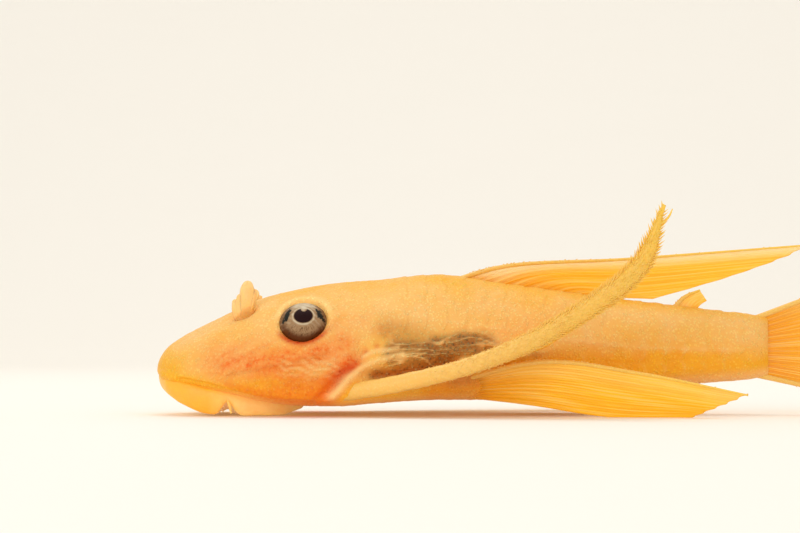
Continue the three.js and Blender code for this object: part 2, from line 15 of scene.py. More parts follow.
import bmesh
import bpy
import numpy as np
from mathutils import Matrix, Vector


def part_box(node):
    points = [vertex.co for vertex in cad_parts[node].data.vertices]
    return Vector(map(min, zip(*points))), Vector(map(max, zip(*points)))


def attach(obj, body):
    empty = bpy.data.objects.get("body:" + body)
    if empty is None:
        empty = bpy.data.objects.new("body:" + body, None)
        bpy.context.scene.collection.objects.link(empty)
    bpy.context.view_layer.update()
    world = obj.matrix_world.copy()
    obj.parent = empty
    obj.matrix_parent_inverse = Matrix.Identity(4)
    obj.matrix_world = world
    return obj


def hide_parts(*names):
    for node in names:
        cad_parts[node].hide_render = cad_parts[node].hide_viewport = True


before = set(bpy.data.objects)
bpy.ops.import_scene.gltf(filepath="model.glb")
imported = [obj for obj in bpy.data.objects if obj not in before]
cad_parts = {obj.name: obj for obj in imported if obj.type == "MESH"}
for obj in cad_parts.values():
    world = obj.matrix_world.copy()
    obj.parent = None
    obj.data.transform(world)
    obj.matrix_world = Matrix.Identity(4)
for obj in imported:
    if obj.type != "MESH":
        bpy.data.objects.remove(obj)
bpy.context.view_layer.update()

MM = 0.001
TINY = 1e-9  # keeps a division from meeting zero
LOG = logging.getLogger("pleco")

Array = np.ndarray
Path = Sequence[tuple[float, float]]
Point = tuple[float, float, float]
Colour = tuple[float, float, float]
Tone = tuple[int, int, int]


class Side(Enum):
    """A side of the fish, by the sign of y on it."""

    LEFT = -1
    RIGHT = 1

    @property
    def label(self) -> str:
        """The side's word in the names of its pieces."""
        return self.name.lower()


@dataclass(frozen=True)
class Place:
    """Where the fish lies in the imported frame."""

    snout_x: float
    middle_y: float

    @classmethod
    def from_frame(cls) -> Place:
        """Reads the snout tip from the head, and the middle plane from between the eyes.

        Returns:
            The place.
        """
        eyes = [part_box(f"eye_{side.label}") for side in Side]
        middle = sum(corner.y for box in eyes for corner in box) / 4
        return cls(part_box("head")[0].x, middle)

    def metres(self, points: Array) -> Array:
        """Turns points along the fish, in millimetres, into the frame's metres."""
        return points * MM + np.array([self.snout_x, self.middle_y, 0.0])


PLACE = Place.from_frame()


def mix(a: Array | float, b: Array | float, f: Array | float) -> Array:
    """Goes from a to b as f goes from 0 to 1."""
    return a + (b - a) * f


def smooth(low: float, high: float, v: Array | float) -> Array:
    """A soft step: 0 below low, 1 above high."""
    f = np.clip((v - low) / (high - low), 0.0, 1.0)
    return f * f * (3 - 2 * f)


def clamp(v: Array) -> Array:
    """Holds values between 0 and 1."""
    return np.clip(v, 0.0, 1.0)


def hill(v: Array, centre: float, width: float) -> Array:
    """A round hill, 1 at its centre."""
    return np.exp(-(((v - centre) / width) ** 2))


def unit(v: Array) -> Array:
    """The same vectors, each one long."""
    return v / np.maximum(np.linalg.norm(v, axis=-1, keepdims=True), TINY)


def full_turn(count: int) -> Array:
    """Angles at even steps once round a ring."""
    return np.linspace(0, 2 * math.pi, count, endpoint=False)


def stroke(x: Array, z: Array, path: Path, width: float) -> Array:
    """How near points lie to a path drawn on the fish's side.

    Args:
        x: distances from the snout.
        z: heights.
        path: the path's corners, as (x, z) pairs.
        width: the distance over which the mark fades out.

    Returns:
        1 on the path, falling to 0 away from it.
    """
    near = np.full(np.shape(x), np.inf)
    for (x0, z0), (x1, z1) in zip(path, path[1:]):
        dx, dz = x1 - x0, z1 - z0
        f = np.clip(((x - x0) * dx + (z - z0) * dz) / (dx * dx + dz * dz), 0, 1)
        near = np.minimum(near, np.hypot(x - x0 - f * dx, z - z0 - f * dz))
    return np.exp(-((near / width) ** 2))


@dataclass(frozen=True)
class Ripple:
    """A repeatable wobble between about -1 and 1, made of a few crossed waves."""

    seed: int
    size: float
    waves: int = 8

    def at(self, x: Array, y: Array, z: Array) -> Array:
        """The wobble at points x, y and z, in millimetres.

        Args:
            x, y, z: where the points are, in millimetres.

        Returns:
            The wobble at each point.
        """
        draw = np.random.default_rng(self.seed)
        total = np.zeros(np.broadcast(x, y, z).shape)
        for _ in range(self.waves):
            way = draw.normal(size=3)
            way *= draw.uniform(0.7, 1.5) * 2 * math.pi / (self.size * np.linalg.norm(way))
            total += np.sin(way[0] * x + way[1] * y + way[2] * z + draw.uniform(0, 2 * math.pi))
        return total / math.sqrt(2 * self.waves)


class Curve:
    """A centripetal Catmull-Rom curve through points in millimetres."""

    LEAST_SPAN = 1e-4  # keeps two points in one place from dividing by zero
    STEP = 0.01  # share of the curve over which its direction is taken

    def __init__(self, *points: Sequence[float]) -> None:
        """Keeps the points, with one more drawn on past each end.

        Args:
            points: the points, from end to end.
        """
        p = np.array(points, float)
        self.points = np.vstack([2 * p[0] - p[1], p, 2 * p[-1] - p[-2]])
        self.spans = len(p) - 1

    def at(self, f: Array | float) -> Array:
        """Points on the curve.

        Args:
            f: shares of the way along it, 0 to 1.

        Returns:
            An array of points, its last axis x, y and z.
        """
        place = np.clip(np.atleast_1d(np.asarray(f, float)), 0, 1) * self.spans
        i = np.minimum(place.astype(int), self.spans - 1)
        w = (place - i)[..., None]
        p0, p1, p2, p3 = (self.points[i + k] for k in range(4))
        d0, d1, d2 = (
            np.maximum(np.linalg.norm(b - a, axis=-1, keepdims=True), self.LEAST_SPAN) ** 0.5
            for a, b in ((p0, p1), (p1, p2), (p2, p3))
        )
        t1 = ((p1 - p0) / d0 - (p2 - p0) / (d0 + d1) + (p2 - p1) / d1) * d1
        t2 = ((p2 - p1) / d1 - (p3 - p1) / (d1 + d2) + (p3 - p2) / d2) * d1
        c2 = -3 * p1 + 3 * p2 - 2 * t1 - t2
        c3 = 2 * p1 - 2 * p2 + t1 + t2
        return p1 + t1 * w + c2 * w**2 + c3 * w**3

    def lie(self, f: Array | float) -> Array:
        """Unit vectors along the curve at shares f of it, 0 to 1."""
        f = np.atleast_1d(np.asarray(f, float))
        return unit(self.at(np.minimum(f + self.STEP, 1)) - self.at(np.maximum(f - self.STEP, 0)))


@dataclass
class Shell:
    """The points, faces and painted values of one mesh, in millimetres along the fish."""

    points: list[Array] = field(default_factory=list)
    faces: list[list[int]] = field(default_factory=list)
    materials: list[int] = field(default_factory=list)
    paint: dict[str, list[Array]] = field(default_factory=dict)
    count: int = 0

    def add(self, points: Array, faces: Array, paint: dict[str, Array], material: int = 0) -> None:
        """Adds one closed part.

        Args:
            points: its points, one row each.
            faces: its faces, one row of point numbers each, -1 where a triangle has no fourth.
            paint: its painted values by name, one for each point, or one vector for each.
            material: which of the piece's materials it wears.
        """
        for name in {**self.paint, **paint}:
            if name not in self.paint:
                self.paint[name] = [np.zeros((self.count, *np.shape(paint[name])[1:]))]
            shape = self.paint[name][0].shape[1:]
            self.paint[name].append(np.asarray(paint.get(name, np.zeros((len(points), *shape)))))
        self.points.append(points)
        self.faces += [[int(v) + self.count for v in row if v >= 0] for row in faces]
        self.materials += [material] * len(faces)
        self.count += len(points)

    def piece(self, name: str, materials: Sequence[bpy.types.Material]) -> bpy.types.Object:
        """Makes the Blender object, with its place in its mesh and its faces turned outwards.

        Args:
            name: the piece's name.
            materials: the materials that its parts wear, in order.

        Returns:
            The finished object, smooth shaded.
        """
        mesh = bpy.data.meshes.new(name)
        mesh.from_pydata(PLACE.metres(np.vstack(self.points)).tolist(), [], self.faces)
        for material in materials:
            mesh.materials.append(material)
        mesh.polygons.foreach_set("material_index", self.materials)
        mesh.polygons.foreach_set("use_smooth", [True] * len(mesh.polygons))
        for label, values in self.paint.items():
            data = np.concatenate(values).astype(np.float32)
            kind, key = ("FLOAT_VECTOR", "vector") if data.ndim == 2 else ("FLOAT", "value")
            mesh.attributes.new(label, kind, "POINT").data.foreach_set(key, data.ravel())
        mesh.validate()
        mesh.update()
        piece = bpy.data.objects.new(name, mesh)
        bpy.context.scene.collection.objects.link(piece)
        face_outwards(mesh)
        return piece


def face_outwards(mesh: bpy.types.Mesh) -> None:
    """Turns the faces of every closed part of a mesh so that they point outwards.

    Args:
        mesh: the mesh.
    """
    work = bmesh.new()
    work.from_mesh(mesh)
    bmesh.ops.recalc_face_normals(work, faces=work.faces)
    work.to_mesh(mesh)
    work.free()


def grid_faces(rows: int, columns: int, closed: bool) -> Array:
    """The faces of a sheet of rows by columns of points.

    Args:
        rows: how many rows of points.
        columns: how many points in each row.
        closed: True where each row runs round to its own start.

    Returns:
        One row of four point numbers for each face.
    """
    i, j = np.meshgrid(np.arange(rows - 1), np.arange(columns if closed else columns - 1), indexing="ij")
    k = (j + 1) % columns
    quads = np.stack([i * columns + j, i * columns + k, (i + 1) * columns + k, (i + 1) * columns + j], -1)
    return quads.reshape(-1, 4)


def cap_faces(first: int, columns: int, pole: int) -> Array:
    """A fan of triangles from a ring of points to a pole, as rows with no fourth point."""
    j = np.arange(columns)
    return np.stack([first + j, first + (j + 1) % columns, np.full(columns, pole), np.full(columns, -1)], -1)


def ringed(rings: Array, first: Array, last: Array) -> tuple[Array, Array]:
    """A closed tube of rings, with a pole at each end.

    Args:
        rings: the rings, as a grid of points.
        first: the pole before the first ring.
        last: the pole after the last ring.

    Returns:
        The tube's points and faces.
    """
    count, around = rings.shape[:2]
    end = count * around
    points = np.vstack([rings.reshape(-1, 3), first, last])
    faces = np.vstack([grid_faces(count, around, True), cap_faces(0, around, end),
                       cap_faces(end - around, around, end + 1)])
    return points, faces


def sheet_normals(sheet: Array) -> Array:
    """Unit vectors out of a grid of points."""
    return unit(np.cross(np.gradient(sheet, axis=0), np.gradient(sheet, axis=1)))


def there_and_back(out: Array, back: Array) -> Array:
    """Rows that run along one grid and return along another."""
    return np.concatenate([out, back[:, ::-1]], axis=1)


def thicken(middle: Array, normal: Array, thick: Array) -> tuple[Array, Array]:
    """Makes a sheet a thin closed solid.

    Args:
        middle: its middle surface, as a grid of points.
        normal: unit vectors out of it.
        thick: its thickness at each point.

    Returns:
        Rows of points that run along one face and back along the other, and the solid's faces.
    """
    half = normal * (thick / 2)[..., None]
    ring = there_and_back(middle - half, middle + half)
    rows, size = ring.shape[:2]
    j = np.arange(size // 2 - 1)
    ends = [np.stack([base + j, base + j + 1, base + size - 2 - j, base + size - 1 - j], -1)
            for base in (0, (rows - 1) * size)]
    return ring, np.vstack([grid_faces(rows, size, True), *ends])


def tapered_bar(curve: Curve, radius: Callable[[Array], Array], steps: int, sides: int,
                flatten: float = 1.0) -> tuple[Array, Array, Array, Array]:
    """A round bar along a curve, closed at both ends.

    Args:
        curve: the line down its middle.
        radius: gives the radius at shares of its length.
        steps: how many rings follow the first.
        sides: points in a ring.
        flatten: how wide it is across the fish, against its height.

    Returns:
        The bar's points and faces, each point's share of the length, and the way it lies there.
    """
    f = np.linspace(0, 1, steps + 1)
    forward = curve.lie(f)
    across = unit(np.cross([0.0, 0.0, 1.0], forward))
    up = np.cross(forward, across)
    turn = full_turn(sides)
    r = radius(f)[:, None, None]
    rings = (curve.at(f)[:, None] + across[:, None] * r * flatten * np.cos(turn)[None, :, None]
             + up[:, None] * r * np.sin(turn)[None, :, None])
    points, faces = ringed(rings, curve.at(0), curve.at(1))
    share = np.append(np.repeat(f, sides), [0, 1])
    lie = np.vstack([np.repeat(forward, sides, axis=0), forward[:1], forward[-1:]])
    return points, faces, share, lie


# The body

class BodyForm:
    """The body's bare outline: rounded sections through a table of stations."""

    LENGTH = 60.0
    TORSO_END = 42.0
    EYE_X = 14.9
    EYE_HEIGHT = 9.28
    EYE_RADIUS = 2.67
    EYE_PROUD = 1.29
    KEYS = ("half", "top", "bottom", "widest")
    # Distance from the snout, half width, top, bottom, height of the widest line
    STATIONS = (
        (0, 0, 4.4, 4.4, 4.4),
        (1, 3.6, 6.6, 3.6, 4.6),
        (3, 5.9, 8.0, 3.0, 4.3),
        (6, 7.7, 9.5, 2.35, 3.8),
        (10, 9.0, 11.4, 1.5, 3.3),
        (14.5, 9.7, 12.55, 0.95, 3.0),
        (18, 9.9, 13.1, 0.9, 3.1),
        (22, 9.5, 13.4, 1.2, 3.5),
        (28, 8.3, 13.9, 1.5, 4.3),
        (34, 6.9, 13.1, 1.5, 4.9),
        (40, 5.5, 12.3, 1.9, 5.3),
        (46, 4.3, 11.5, 2.4, 5.7),
        (52, 3.2, 10.8, 2.9, 6.1),
        (57, 2.4, 10.2, 3.3, 6.4),
        (61, 1.9, 9.9, 3.6, 6.6),
    )

    def __init__(self) -> None:
        """Works out the slopes of a monotone cubic, smooth in sqrt(x) so that the snout is round."""
        table = np.array(self.STATIONS, float)
        self.u = np.sqrt(table[:, 0])
        self.values = dict(zip(self.KEYS, table[:, 1:].T))
        self.slopes = {key: self._slopes(v) for key, v in self.values.items()}

    def _slopes(self, v: Array) -> Array:
        """The slope at each station, flat at a crest.

        Args:
            v: one of the sizes, at each station.

        Returns:
            The slopes in sqrt(x).
        """
        chord = np.diff(v) / np.diff(self.u)
        a, b = chord[:-1], chord[1:]
        inner = np.where(a * b <= 0, 0, 2 * a * b / np.where(a + b == 0, 1, a + b))
        return np.concatenate([chord[:1], inner, chord[-1:]])

    def size(self, key: str, x: Array | float) -> Array:
        """One of the station sizes at distances x from the snout.

        Args:
            key: which size, from KEYS.
            x: distances from the snout.

        Returns:
            The size at each distance.
        """
        p = np.sqrt(np.maximum(np.asarray(x, float), 0))
        i = np.clip(np.searchsorted(self.u, p, side="right") - 1, 0, len(self.u) - 2)
        h = self.u[i + 1] - self.u[i]
        f = (p - self.u[i]) / h
        v, m = self.values[key], self.slopes[key]
        return ((2 * f**3 - 3 * f**2 + 1) * v[i] + (f**3 - 2 * f**2 + f) * h * m[i]
                + (3 * f**2 - 2 * f**3) * v[i + 1] + (f**3 - f**2) * h * m[i + 1])

    def section(self, x: Array, t: Array) -> tuple[Array, Array]:
        """Half width and height of the bare body at distance x and angle t round it.

        Args:
            x: distances from the snout.
            t: angles, -90 degrees under the belly to +90 on the back.

        Returns:
            The distances from the middle plane, and the heights.
        """
        flat = mix(2.1, 2.3, smooth(30, 50, x))
        belly = mix(3.6, 2.5, smooth(34, 50, x))
        n = mix(belly, flat, smooth(-0.35, 0.35, t))
        c, s = np.abs(np.cos(t)), np.abs(np.sin(t))
        r = (c**n + s**n) ** (-1 / n)
        centre = self.size("widest", x)
        edge = np.where(np.asarray(t) > 0, self.size("top", x), self.size("bottom", x))
        return self.size("half", x) * r * c, centre + (edge - centre) * r * s

    def gill_line(self, z: Array) -> Array:
        """Where the head ends: far forward under the throat, upright over the nape."""
        return mix(16.6, 22.6, smooth(1.0, 8.0, z))

    def eye(self, side: Side) -> tuple[Array, Array]:
        """The middle of an eye's ball, and the unit vector that it looks along.

        Args:
            side: which eye.

        Returns:
            The middle and the vector.
        """
        centre = self.size("widest", self.EYE_X)
        tall = self.size("top", self.EYE_X) - centre
        half = self.size("half", self.EYE_X)
        rise = (self.EYE_HEIGHT - centre) / tall
        y = half * math.sqrt(1 - rise**2)
        out = unit(np.array([y / half**2, rise / tall]))
        sunk = self.EYE_RADIUS - self.EYE_PROUD
        middle = np.array([self.EYE_X, side.value * (y - out[0] * sunk), self.EYE_HEIGHT - out[1] * sunk])
        return middle, np.array([0.0, side.value * out[0], out[1]])


FORM = BodyForm()


@dataclass(frozen=True)
class Mark:
    """A soft mark along a path on the side of the fish. mottled is the share that comes and goes."""

    strength: float
    path: Path
    width: float
    mottled: float = 0.0

    def at(self, x: Array, z: Array, mottle: Array | float = 0.0) -> Array:
        """How strong the mark is at each point."""
        return self.strength * stroke(x, z, self.path, self.width) * mix(1 - self.mottled, 1.0, mottle)


@dataclass
class Skin:
    """The hide from snout to tail root, in one piece: plates, folds, pits and its painted markings."""

    name: str = "skin"
    around: int = 204
    end: float = 61.0
    plate_rows: int = 5
    torso_plates: int = 10
    tail_plates: int = 9
    plate_lift: float = 0.1
    ridge_at: float = 0.93  # where a plate is highest, as a share of its length
    # Marks on the side of the fish, as (distance from the snout, height)
    lip_groove: Path = ((2.6, 3.65), (5.9, 3.05), (7.75, 2.35), (11.6, 1.6), (16.0, 1.3))
    gill_slit: Path = ((20.4, 6.3), (19.9, 5.3), (18.25, 3.75), (16.9, 1.9), (16.2, 1.0))
    shoulder: Path = ((16.9, 0.9), (17.9, 2.2), (19.4, 3.9), (20.5, 4.7), (22.2, 5.5), (24.4, 6.0))
    second_fold: Path = ((20.7, 5.9), (21.9, 6.3), (24.0, 6.6))
    hollow: Path = ((20.9, 4.0), (23.4, 4.2), (26.6, 4.7), (29.6, 5.2))
    keel: Path = ((24.5, 9.9), (26.5, 9.5), (35.3, 8.2), (40.7, 7.4), (48.0, 6.6), (58.0, 6.4))
    snout_edge: Path = ((2.0, 6.6), (4.6, 7.6), (7.4, 8.6))
    cheek_fold: Path = ((7.6, 4.0), (10.7, 4.7), (13.2, 5.1), (15.4, 5.6), (17.4, 6.4))
    # The next five marks are painted shade: the cleft where the pectoral fin folds against the flank, its
    # softer fringe and a spot
    dark_front: Mark = Mark(1.0, ((23.8, 6.1), (25.2, 6.1), (26.6, 5.9)), 1.35)
    dark_rear: Mark = Mark(1.0, ((28.0, 6.5), (30.2, 6.9), (32.2, 6.9)), 1.4)
    dark_trail: Mark = Mark(0.4, ((33.6, 6.8), (37.4, 6.1)), 0.5)
    dark_spot: Mark = Mark(0.8, ((27.3, 5.8), (28.7, 5.6)), 0.5)
    halo: Mark = Mark(0.4, ((23.0, 8.4), (26.6, 7.4)), 1.15)
    ruffled: Mark = Mark(1.0, ((13.4, 4.9), (15.6, 4.7), (17.4, 4.9)), 0.95)
    spine_shade: Mark = Mark(0.4, ((29.5, 3.6), (33.6, 4.4)), 0.9)
    pores: Path = ((20.9, 6.35), (22.0, 6.8))
    blushes: Sequence[Mark] = (
        Mark(0.5, ((6.8, 5.4), (10.0, 5.8), (13.0, 5.2), (17.5, 5.8)), 2.1),
        Mark(0.65, ((7.4, 4.9), (9.6, 4.8), (12.2, 5.3)), 1.35, 0.55),
        Mark(0.75, ((14.2, 5.8), (17.0, 6.2), (18.8, 6.7)), 0.85, 0.55),
        Mark(0.45, ((13.4, 3.7), (16.4, 3.6), (19.4, 5.0)), 0.5),
        Mark(0.4, ((19.0, 8.4), (23.0, 8.0)), 2.2, 1.0),
    )
    rusts: Sequence[Mark] = (
        Mark(0.7, ((7.6, 3.2), (11.6, 2.0), (16.0, 1.5)), 0.45),
        Mark(0.5, ((27.6, 2.6), (33.0, 3.6)), 1.3),
    )
    creams: Sequence[Mark] = (
        Mark(0.35, ((22.0, 11.0), (23.6, 10.8)), 0.8),
        Mark(0.5, ((9.5, 9.7), (10.6, 10.3), (12.0, 10.9)), 0.36),
    )

    def rows(self) -> Array:
        """Distances of the rings from the snout: closest at the tip and over the head.

        Returns:
            The distances.
        """
        x = np.linspace(0, self.end, 4000)
        spacing = mix(mix(0.02, 0.108, smooth(0, 1.2, x)), 0.175, smooth(25, 36, x))
        spacing = mix(spacing, 0.06, smooth(59.4, 60.9, x))
        count = np.concatenate([[0], np.cumsum(np.diff(x) / spacing[:-1])])
        return np.interp(np.linspace(0, count[-1], int(count[-1])), count, x)[1:-1]

    def angles(self) -> tuple[Array, Array]:
        """Angles round a ring, and the side of the fish that each is on.

        Returns:
            The angles and the sides.
        """
        half = self.around // 2
        w = np.arange(self.around) / half
        rise = np.where(w <= 1, w, 2 - w)
        t = -math.pi / 2 + math.pi * (rise + 0.045 * np.sin(2 * math.pi * rise))
        return t, np.where(w <= 1, Side.LEFT.value, Side.RIGHT.value)

    def bare(self, x: Array, t: Array, side: Array) -> Array:
        """The body's points before any relief, drawn in to a wedge where the tail fin begins.

        Args:
            x: distances from the snout.
            t: angles round the body.
            side: which side each point is on.

        Returns:
            The points.
        """
        y, z = FORM.section(x, t)
        wedge = np.sqrt(np.clip(1 - (np.maximum(x - 57.0, 0) / (self.end - 57.0)) ** 2.4, 0, 1))
        middle = FORM.size("widest", x)
        return np.stack([x, side * y * wedge, middle + (z - middle) * mix(0.86, 1, wedge)], -1)

    def normals(self, x: Array, t: Array, side: Array) -> Array:
        """Unit vectors out of the bare body.

        Args:
            x: distances from the snout.
            t: angles round the body.
            side: which side each point is on.

        Returns:
            One vector for each point.
        """
        step = 0.02
        along = self.bare(x + step, t, side) - self.bare(np.maximum(x - step, 1e-3), t, side)
        round_ = self.bare(x, t + step, side) - self.bare(x, t - step, side)
        normal = unit(np.cross(along, round_) * np.where(side < 0, 1, -1)[..., None])
        # On the lines along the middle of the back and belly, the vector has no part across the fish
        pole = np.abs(np.cos(t)) <= step
        normal *= np.where((normal[..., 1] * side < 0) & ~pole, -1, 1)[..., None]
        normal[..., 1] = np.where(pole, 0, normal[..., 1])
        normal[..., 2] = np.where(pole, np.sign(np.sin(t)) * np.abs(normal[..., 2]), normal[..., 2])
        return unit(normal)

    def plates(self, x: Array, t: Array, z: Array) -> tuple[Array, Array, Array]:
        """The scutes: relief, the share of each plate passed from its front, and where they are.

        Args:
            x: distances from the snout.
            t: angles round the body.
            z: heights.

        Returns:
            The relief, the shares, and how much each point is on a plate.
        """
        gill = FORM.gill_line(z)
        limit = mix(-0.42, -1.35, smooth(38, 47, x))
        row = self.plate_rows * (t - limit) / (math.pi / 2 - limit)
        torso = self.torso_plates * (x - gill) / (FORM.TORSO_END - gill)
        tail = self.torso_plates + self.tail_plates * (x - FORM.TORSO_END) / (FORM.LENGTH - FORM.TORSO_END)
        across = row - np.floor(row)
        bow = 0.34 * (1 - (2 * across - 1) ** 2) - 0.1
        along = np.mod(np.where(x < FORM.TORSO_END, torso, tail) - bow, 1.0)
        ramp = np.where(along < self.ridge_at, mix(0.12, 1.0, along / self.ridge_at),
                        (1 - along) / (1 - self.ridge_at))
        crown = 1 - np.abs(2 * across - 1) ** 3.2
        there = smooth(0.2, 1.4, x - gill) * smooth(0.0, 0.2, row) * smooth(60.5, 58.5, x)
        keel = 0.25 * hill(across, 0.5, 0.13)
        return self.plate_lift * (crown + keel) * ramp * there, along, there * crown

    def eye_marks(self, points: Array, side: Array) -> tuple[Array, Array, Array]:
        """Distance from the eye's line of sight, how far below its middle, and the way it looks.

        Args:
            points: points of the body.
            side: which side each is on.

        Returns:
            The three, for each point.
        """
        away, below, way = np.full(side.shape, 99.0), np.zeros(side.shape), np.zeros(points.shape)
        for each in Side:
            middle, out = FORM.eye(each)
            v = points - middle
            ahead = v @ out
            v = v - ahead[..., None] * out
            mine = (side == each.value) & (ahead > 0)
            away = np.where(mine, np.linalg.norm(v, axis=-1), away)
            below = np.where(mine, -v[..., 2], below)
            way = np.where(mine[..., None], out, way)
        return away, below, way

    def shaped(self) -> tuple[Array, dict[str, Array]]:
        """Lays out the skin.

        Returns:
            The grid of points, and the painted values by name.
        """
        angle, side = self.angles()
        x, t = np.meshgrid(self.rows(), angle, indexing="ij")
        side = np.broadcast_to(side, x.shape)
        bare = self.bare(x, t, side)
        y, z = bare[..., 1], bare[..., 2]
        normal = self.normals(x, t, side)
        plate, along, plated = self.plates(x, t, z)
        away, below, way = self.eye_marks(bare, side)
        head = smooth(22.5, 20.0, x)
        flank = smooth(0.15, 0.9, np.abs(y) / np.maximum(FORM.size("half", x), 0.1))

        wander = Ripple(11, 3.2).at(x, y, z)
        crimp = Ripple(23, 1.5).at(x, y, z)
        fine = Ripple(37, 0.8).at(x, y, z)
        coarse = Ripple(5, 8.0).at(x, y, z)

        brow = 0.34 * hill(x, 14.5, 4) * hill(t, 1.02, 0.16)
        cheek = 0.3 * hill(x, 12.5, 3) * hill(z, 3.6, 1.6)
        pit = hill(x, 8.9, 0.95) * hill(t, 1.05, 0.1)
        rim = 0.2 * hill(away, 2.95, 0.38) * smooth(0.9, -2.4, -below)
        lid = 0.12 * hill(away, 2.75, 0.3)
        socket = 1 - smooth(1.95, mix(2.38, 2.62, smooth(-0.6, 2.2, below)), away)

        above = smooth(1.3, 2.1, z)
        groove = stroke(x, z, self.lip_groove, 0.2) * smooth(1.5, 3.0, x)
        slit = stroke(x, z, self.gill_slit, 0.55) * above
        fold = stroke(x, z + 0.06 * wander, self.shoulder, mix(0.5, 0.3, smooth(3.6, 5.0, z))) * above
        second = stroke(x, z + 0.08 * wander, self.second_fold, 0.2)
        hollow = stroke(x, z, self.hollow, 0.62) * flank
        keel = stroke(x, z + 0.05 * crimp, self.keel, 0.24)
        ledge = stroke(x, z, self.snout_edge, 0.3)
        fold_line = stroke(x, z + 0.12 * wander, self.cheek_fold, 0.2)

        dark_rear = self.dark_rear.at(x, z)
        patch = clamp(smooth(0.15, 0.75, self.dark_front.at(x, z)) + smooth(0.15, 0.75, dark_rear)
                      + self.dark_trail.at(x, z)) * flank
        bend = 0.14 * (x - 25) * smooth(27.6, 25.6, x) + 0.7 * hill(x, 30.9, 2.1)
        # Wrinkles: lines where a wobble, drawn out along the fish, changes its sign
        lined = Ripple(29, 1.05, 14).at(0.34 * x, 0.34 * y, z - bend + 0.08 * crimp)
        crinkle = np.exp(-((lined / 0.3) ** 2)) * (0.5 + 0.5 * smooth(-0.8, 0.4, crimp))
        low_cheek = self.ruffled.at(x, z) * flank
        ruffle = (0.5 + 0.5 * np.sin((z + 0.25 * x) * 2 * math.pi / 0.62 + 2.4 * wander + 1.2 * crimp)) ** 2
        pores = sum(hill(np.hypot(x - a, z - b), 0, 0.3) for a, b in self.pores) * flank

        relief = plate + brow + (cheek + 0.1 * ledge) * smooth(1, 4, x) + (rim + lid)
        relief += -0.85 * pit - 0.2 * groove - 0.45 * slit + 0.26 * fold + 0.14 * second - 0.42 * hollow
        relief += 0.07 * keel - 0.12 * fold_line * head
        relief += 0.17 * patch * (crinkle - 0.3) + 0.15 * low_cheek * (ruffle - 0.4)
        relief += 0.026 * crimp * smooth(1, 4, x) + 0.018 * fine - 0.12 * pores
        # Under the tip of the snout the skin is full, so that it runs on into the upper lip
        relief += 0.4 * smooth(0.05, -0.5, t) * smooth(3.6, 1.6, x)
        relief *= smooth(0.0, 1.2, x)
        points = bare + normal * relief[..., None] - way * (1.0 * socket)[..., None]

        mottle = 0.5 + 0.5 * np.tanh(1.4 * wander)
        near_gill = stroke(x, z, self.gill_slit, 1.0)
        blush = sum(mark.at(x, z, mottle) for mark in self.blushes)
        blush += 0.16 * smooth(35, 43, x) * hill(z, 5.6, 1.6) * (0.5 + 0.5 * mottle) + 0.6 * pores
        # Fine slanting fibres show through the cheek
        fibre = 1 + 0.22 * Ripple(51, 0.9).at(0.2 * (x + 0.35 * z), 0.2 * y, z - 0.35 * x) * head
        blush = (blush + 0.8 * near_gill * smooth(6.6, 5.0, z)) * fibre * flank * smooth(0.8, 1.6, z)
        deep = (1.15 * slit * smooth(6.3, 4.3, z) + 0.65 * near_gill * hill(z, 3.1, 1.6)
                + 0.4 * pores) * smooth(1.1, 2.0, z)
        below_fold = stroke(x, z + 0.3, self.cheek_fold[1:], 0.34) * smooth(9.5, 12.0, x)
        rust = clamp(1.25 * hill(z, 2.4, 1.6) * smooth(7.5, 15.5, x) * smooth(19.0, 17.0, x)
                     + 0.7 * below_fold + 0.3 * hill(x, 20.0, 1.6) * hill(z, 2.6, 1.2)
                     + sum(mark.at(x, z) for mark in self.rusts)
                     + 0.16 * smooth(33, 38, x) * hill(z, 5.4, 1.2) * mottle) * flank
        # Painted shade: a dark red-orange crescent in the gap under the eye
        under_eye_shade = (1 - smooth(2.75, 3.2, away)) * smooth(0.6, 1.7, below)
        amber = (1.05 * smooth(5.2, 0.5, x) * smooth(8.2, 3.4, z) + 0.75 * groove
                 + smooth(4.9, 2.2, z) * smooth(1, 5, x) * smooth(24, 19, x)
                 + smooth(4.0, 1.4, z) * smooth(17, 22, x) * 0.95
                 + 0.9 * smooth(7.4, 4.6, z) * smooth(29, 35, x)
                 + 0.5 * smooth(0.75, 1.25, t) * smooth(4, 14, x)
                 + 0.34 * smooth(-0.3, 1.0, coarse))
        # Painted shade of the cleft behind the pectoral fin, lighter on the crests of its wrinkles, with a
        # softer fringe above it and a spot
        cleft_shade = (patch * (0.8 + 0.12 * wander + 0.12 * dark_rear - 0.25 * crinkle)
                + self.halo.at(x, z) * flank + self.dark_spot.at(x, z))
        # Pale paint on the folds, keel, snout ledge and plate crests, partly their own paler tone and partly
        # a painted highlight on these ridges; the ring over the top of the eye is painted light that lifts
        # the shaded crease there
        cream = (0.72 * fold + 0.8 * second + 0.45 * keel * (0.6 + 0.4 * crimp)
                 + 0.1 * patch * crinkle + 0.6 * low_cheek * ruffle
                 + 0.22 * plated * hill(along, 0.9, 0.07) * (0.5 + 0.5 * crimp) + 0.22 * ledge
                 + sum(mark.at(x, z) for mark in self.creams)
                 + 0.75 * hill(away, 2.6, 0.45) * smooth(0.2, -0.9, below))
        shade = (1.1 * hollow * smooth(20.4, 22.0, x) + 0.5 * pit + 0.12 * fold_line * head
                 + self.spine_shade.at(x, z))
        # Painted glow: where the hide is made to glow, in the shade of its lower edge and of the crease over
        # the eye
        lower_edge = smooth(3.4, 1.4, z) * smooth(1.0, 5.0, x) * smooth(46, 34, x)
        over_eye = smooth(3.1, 2.6, away) * smooth(0.3, -0.8, below)
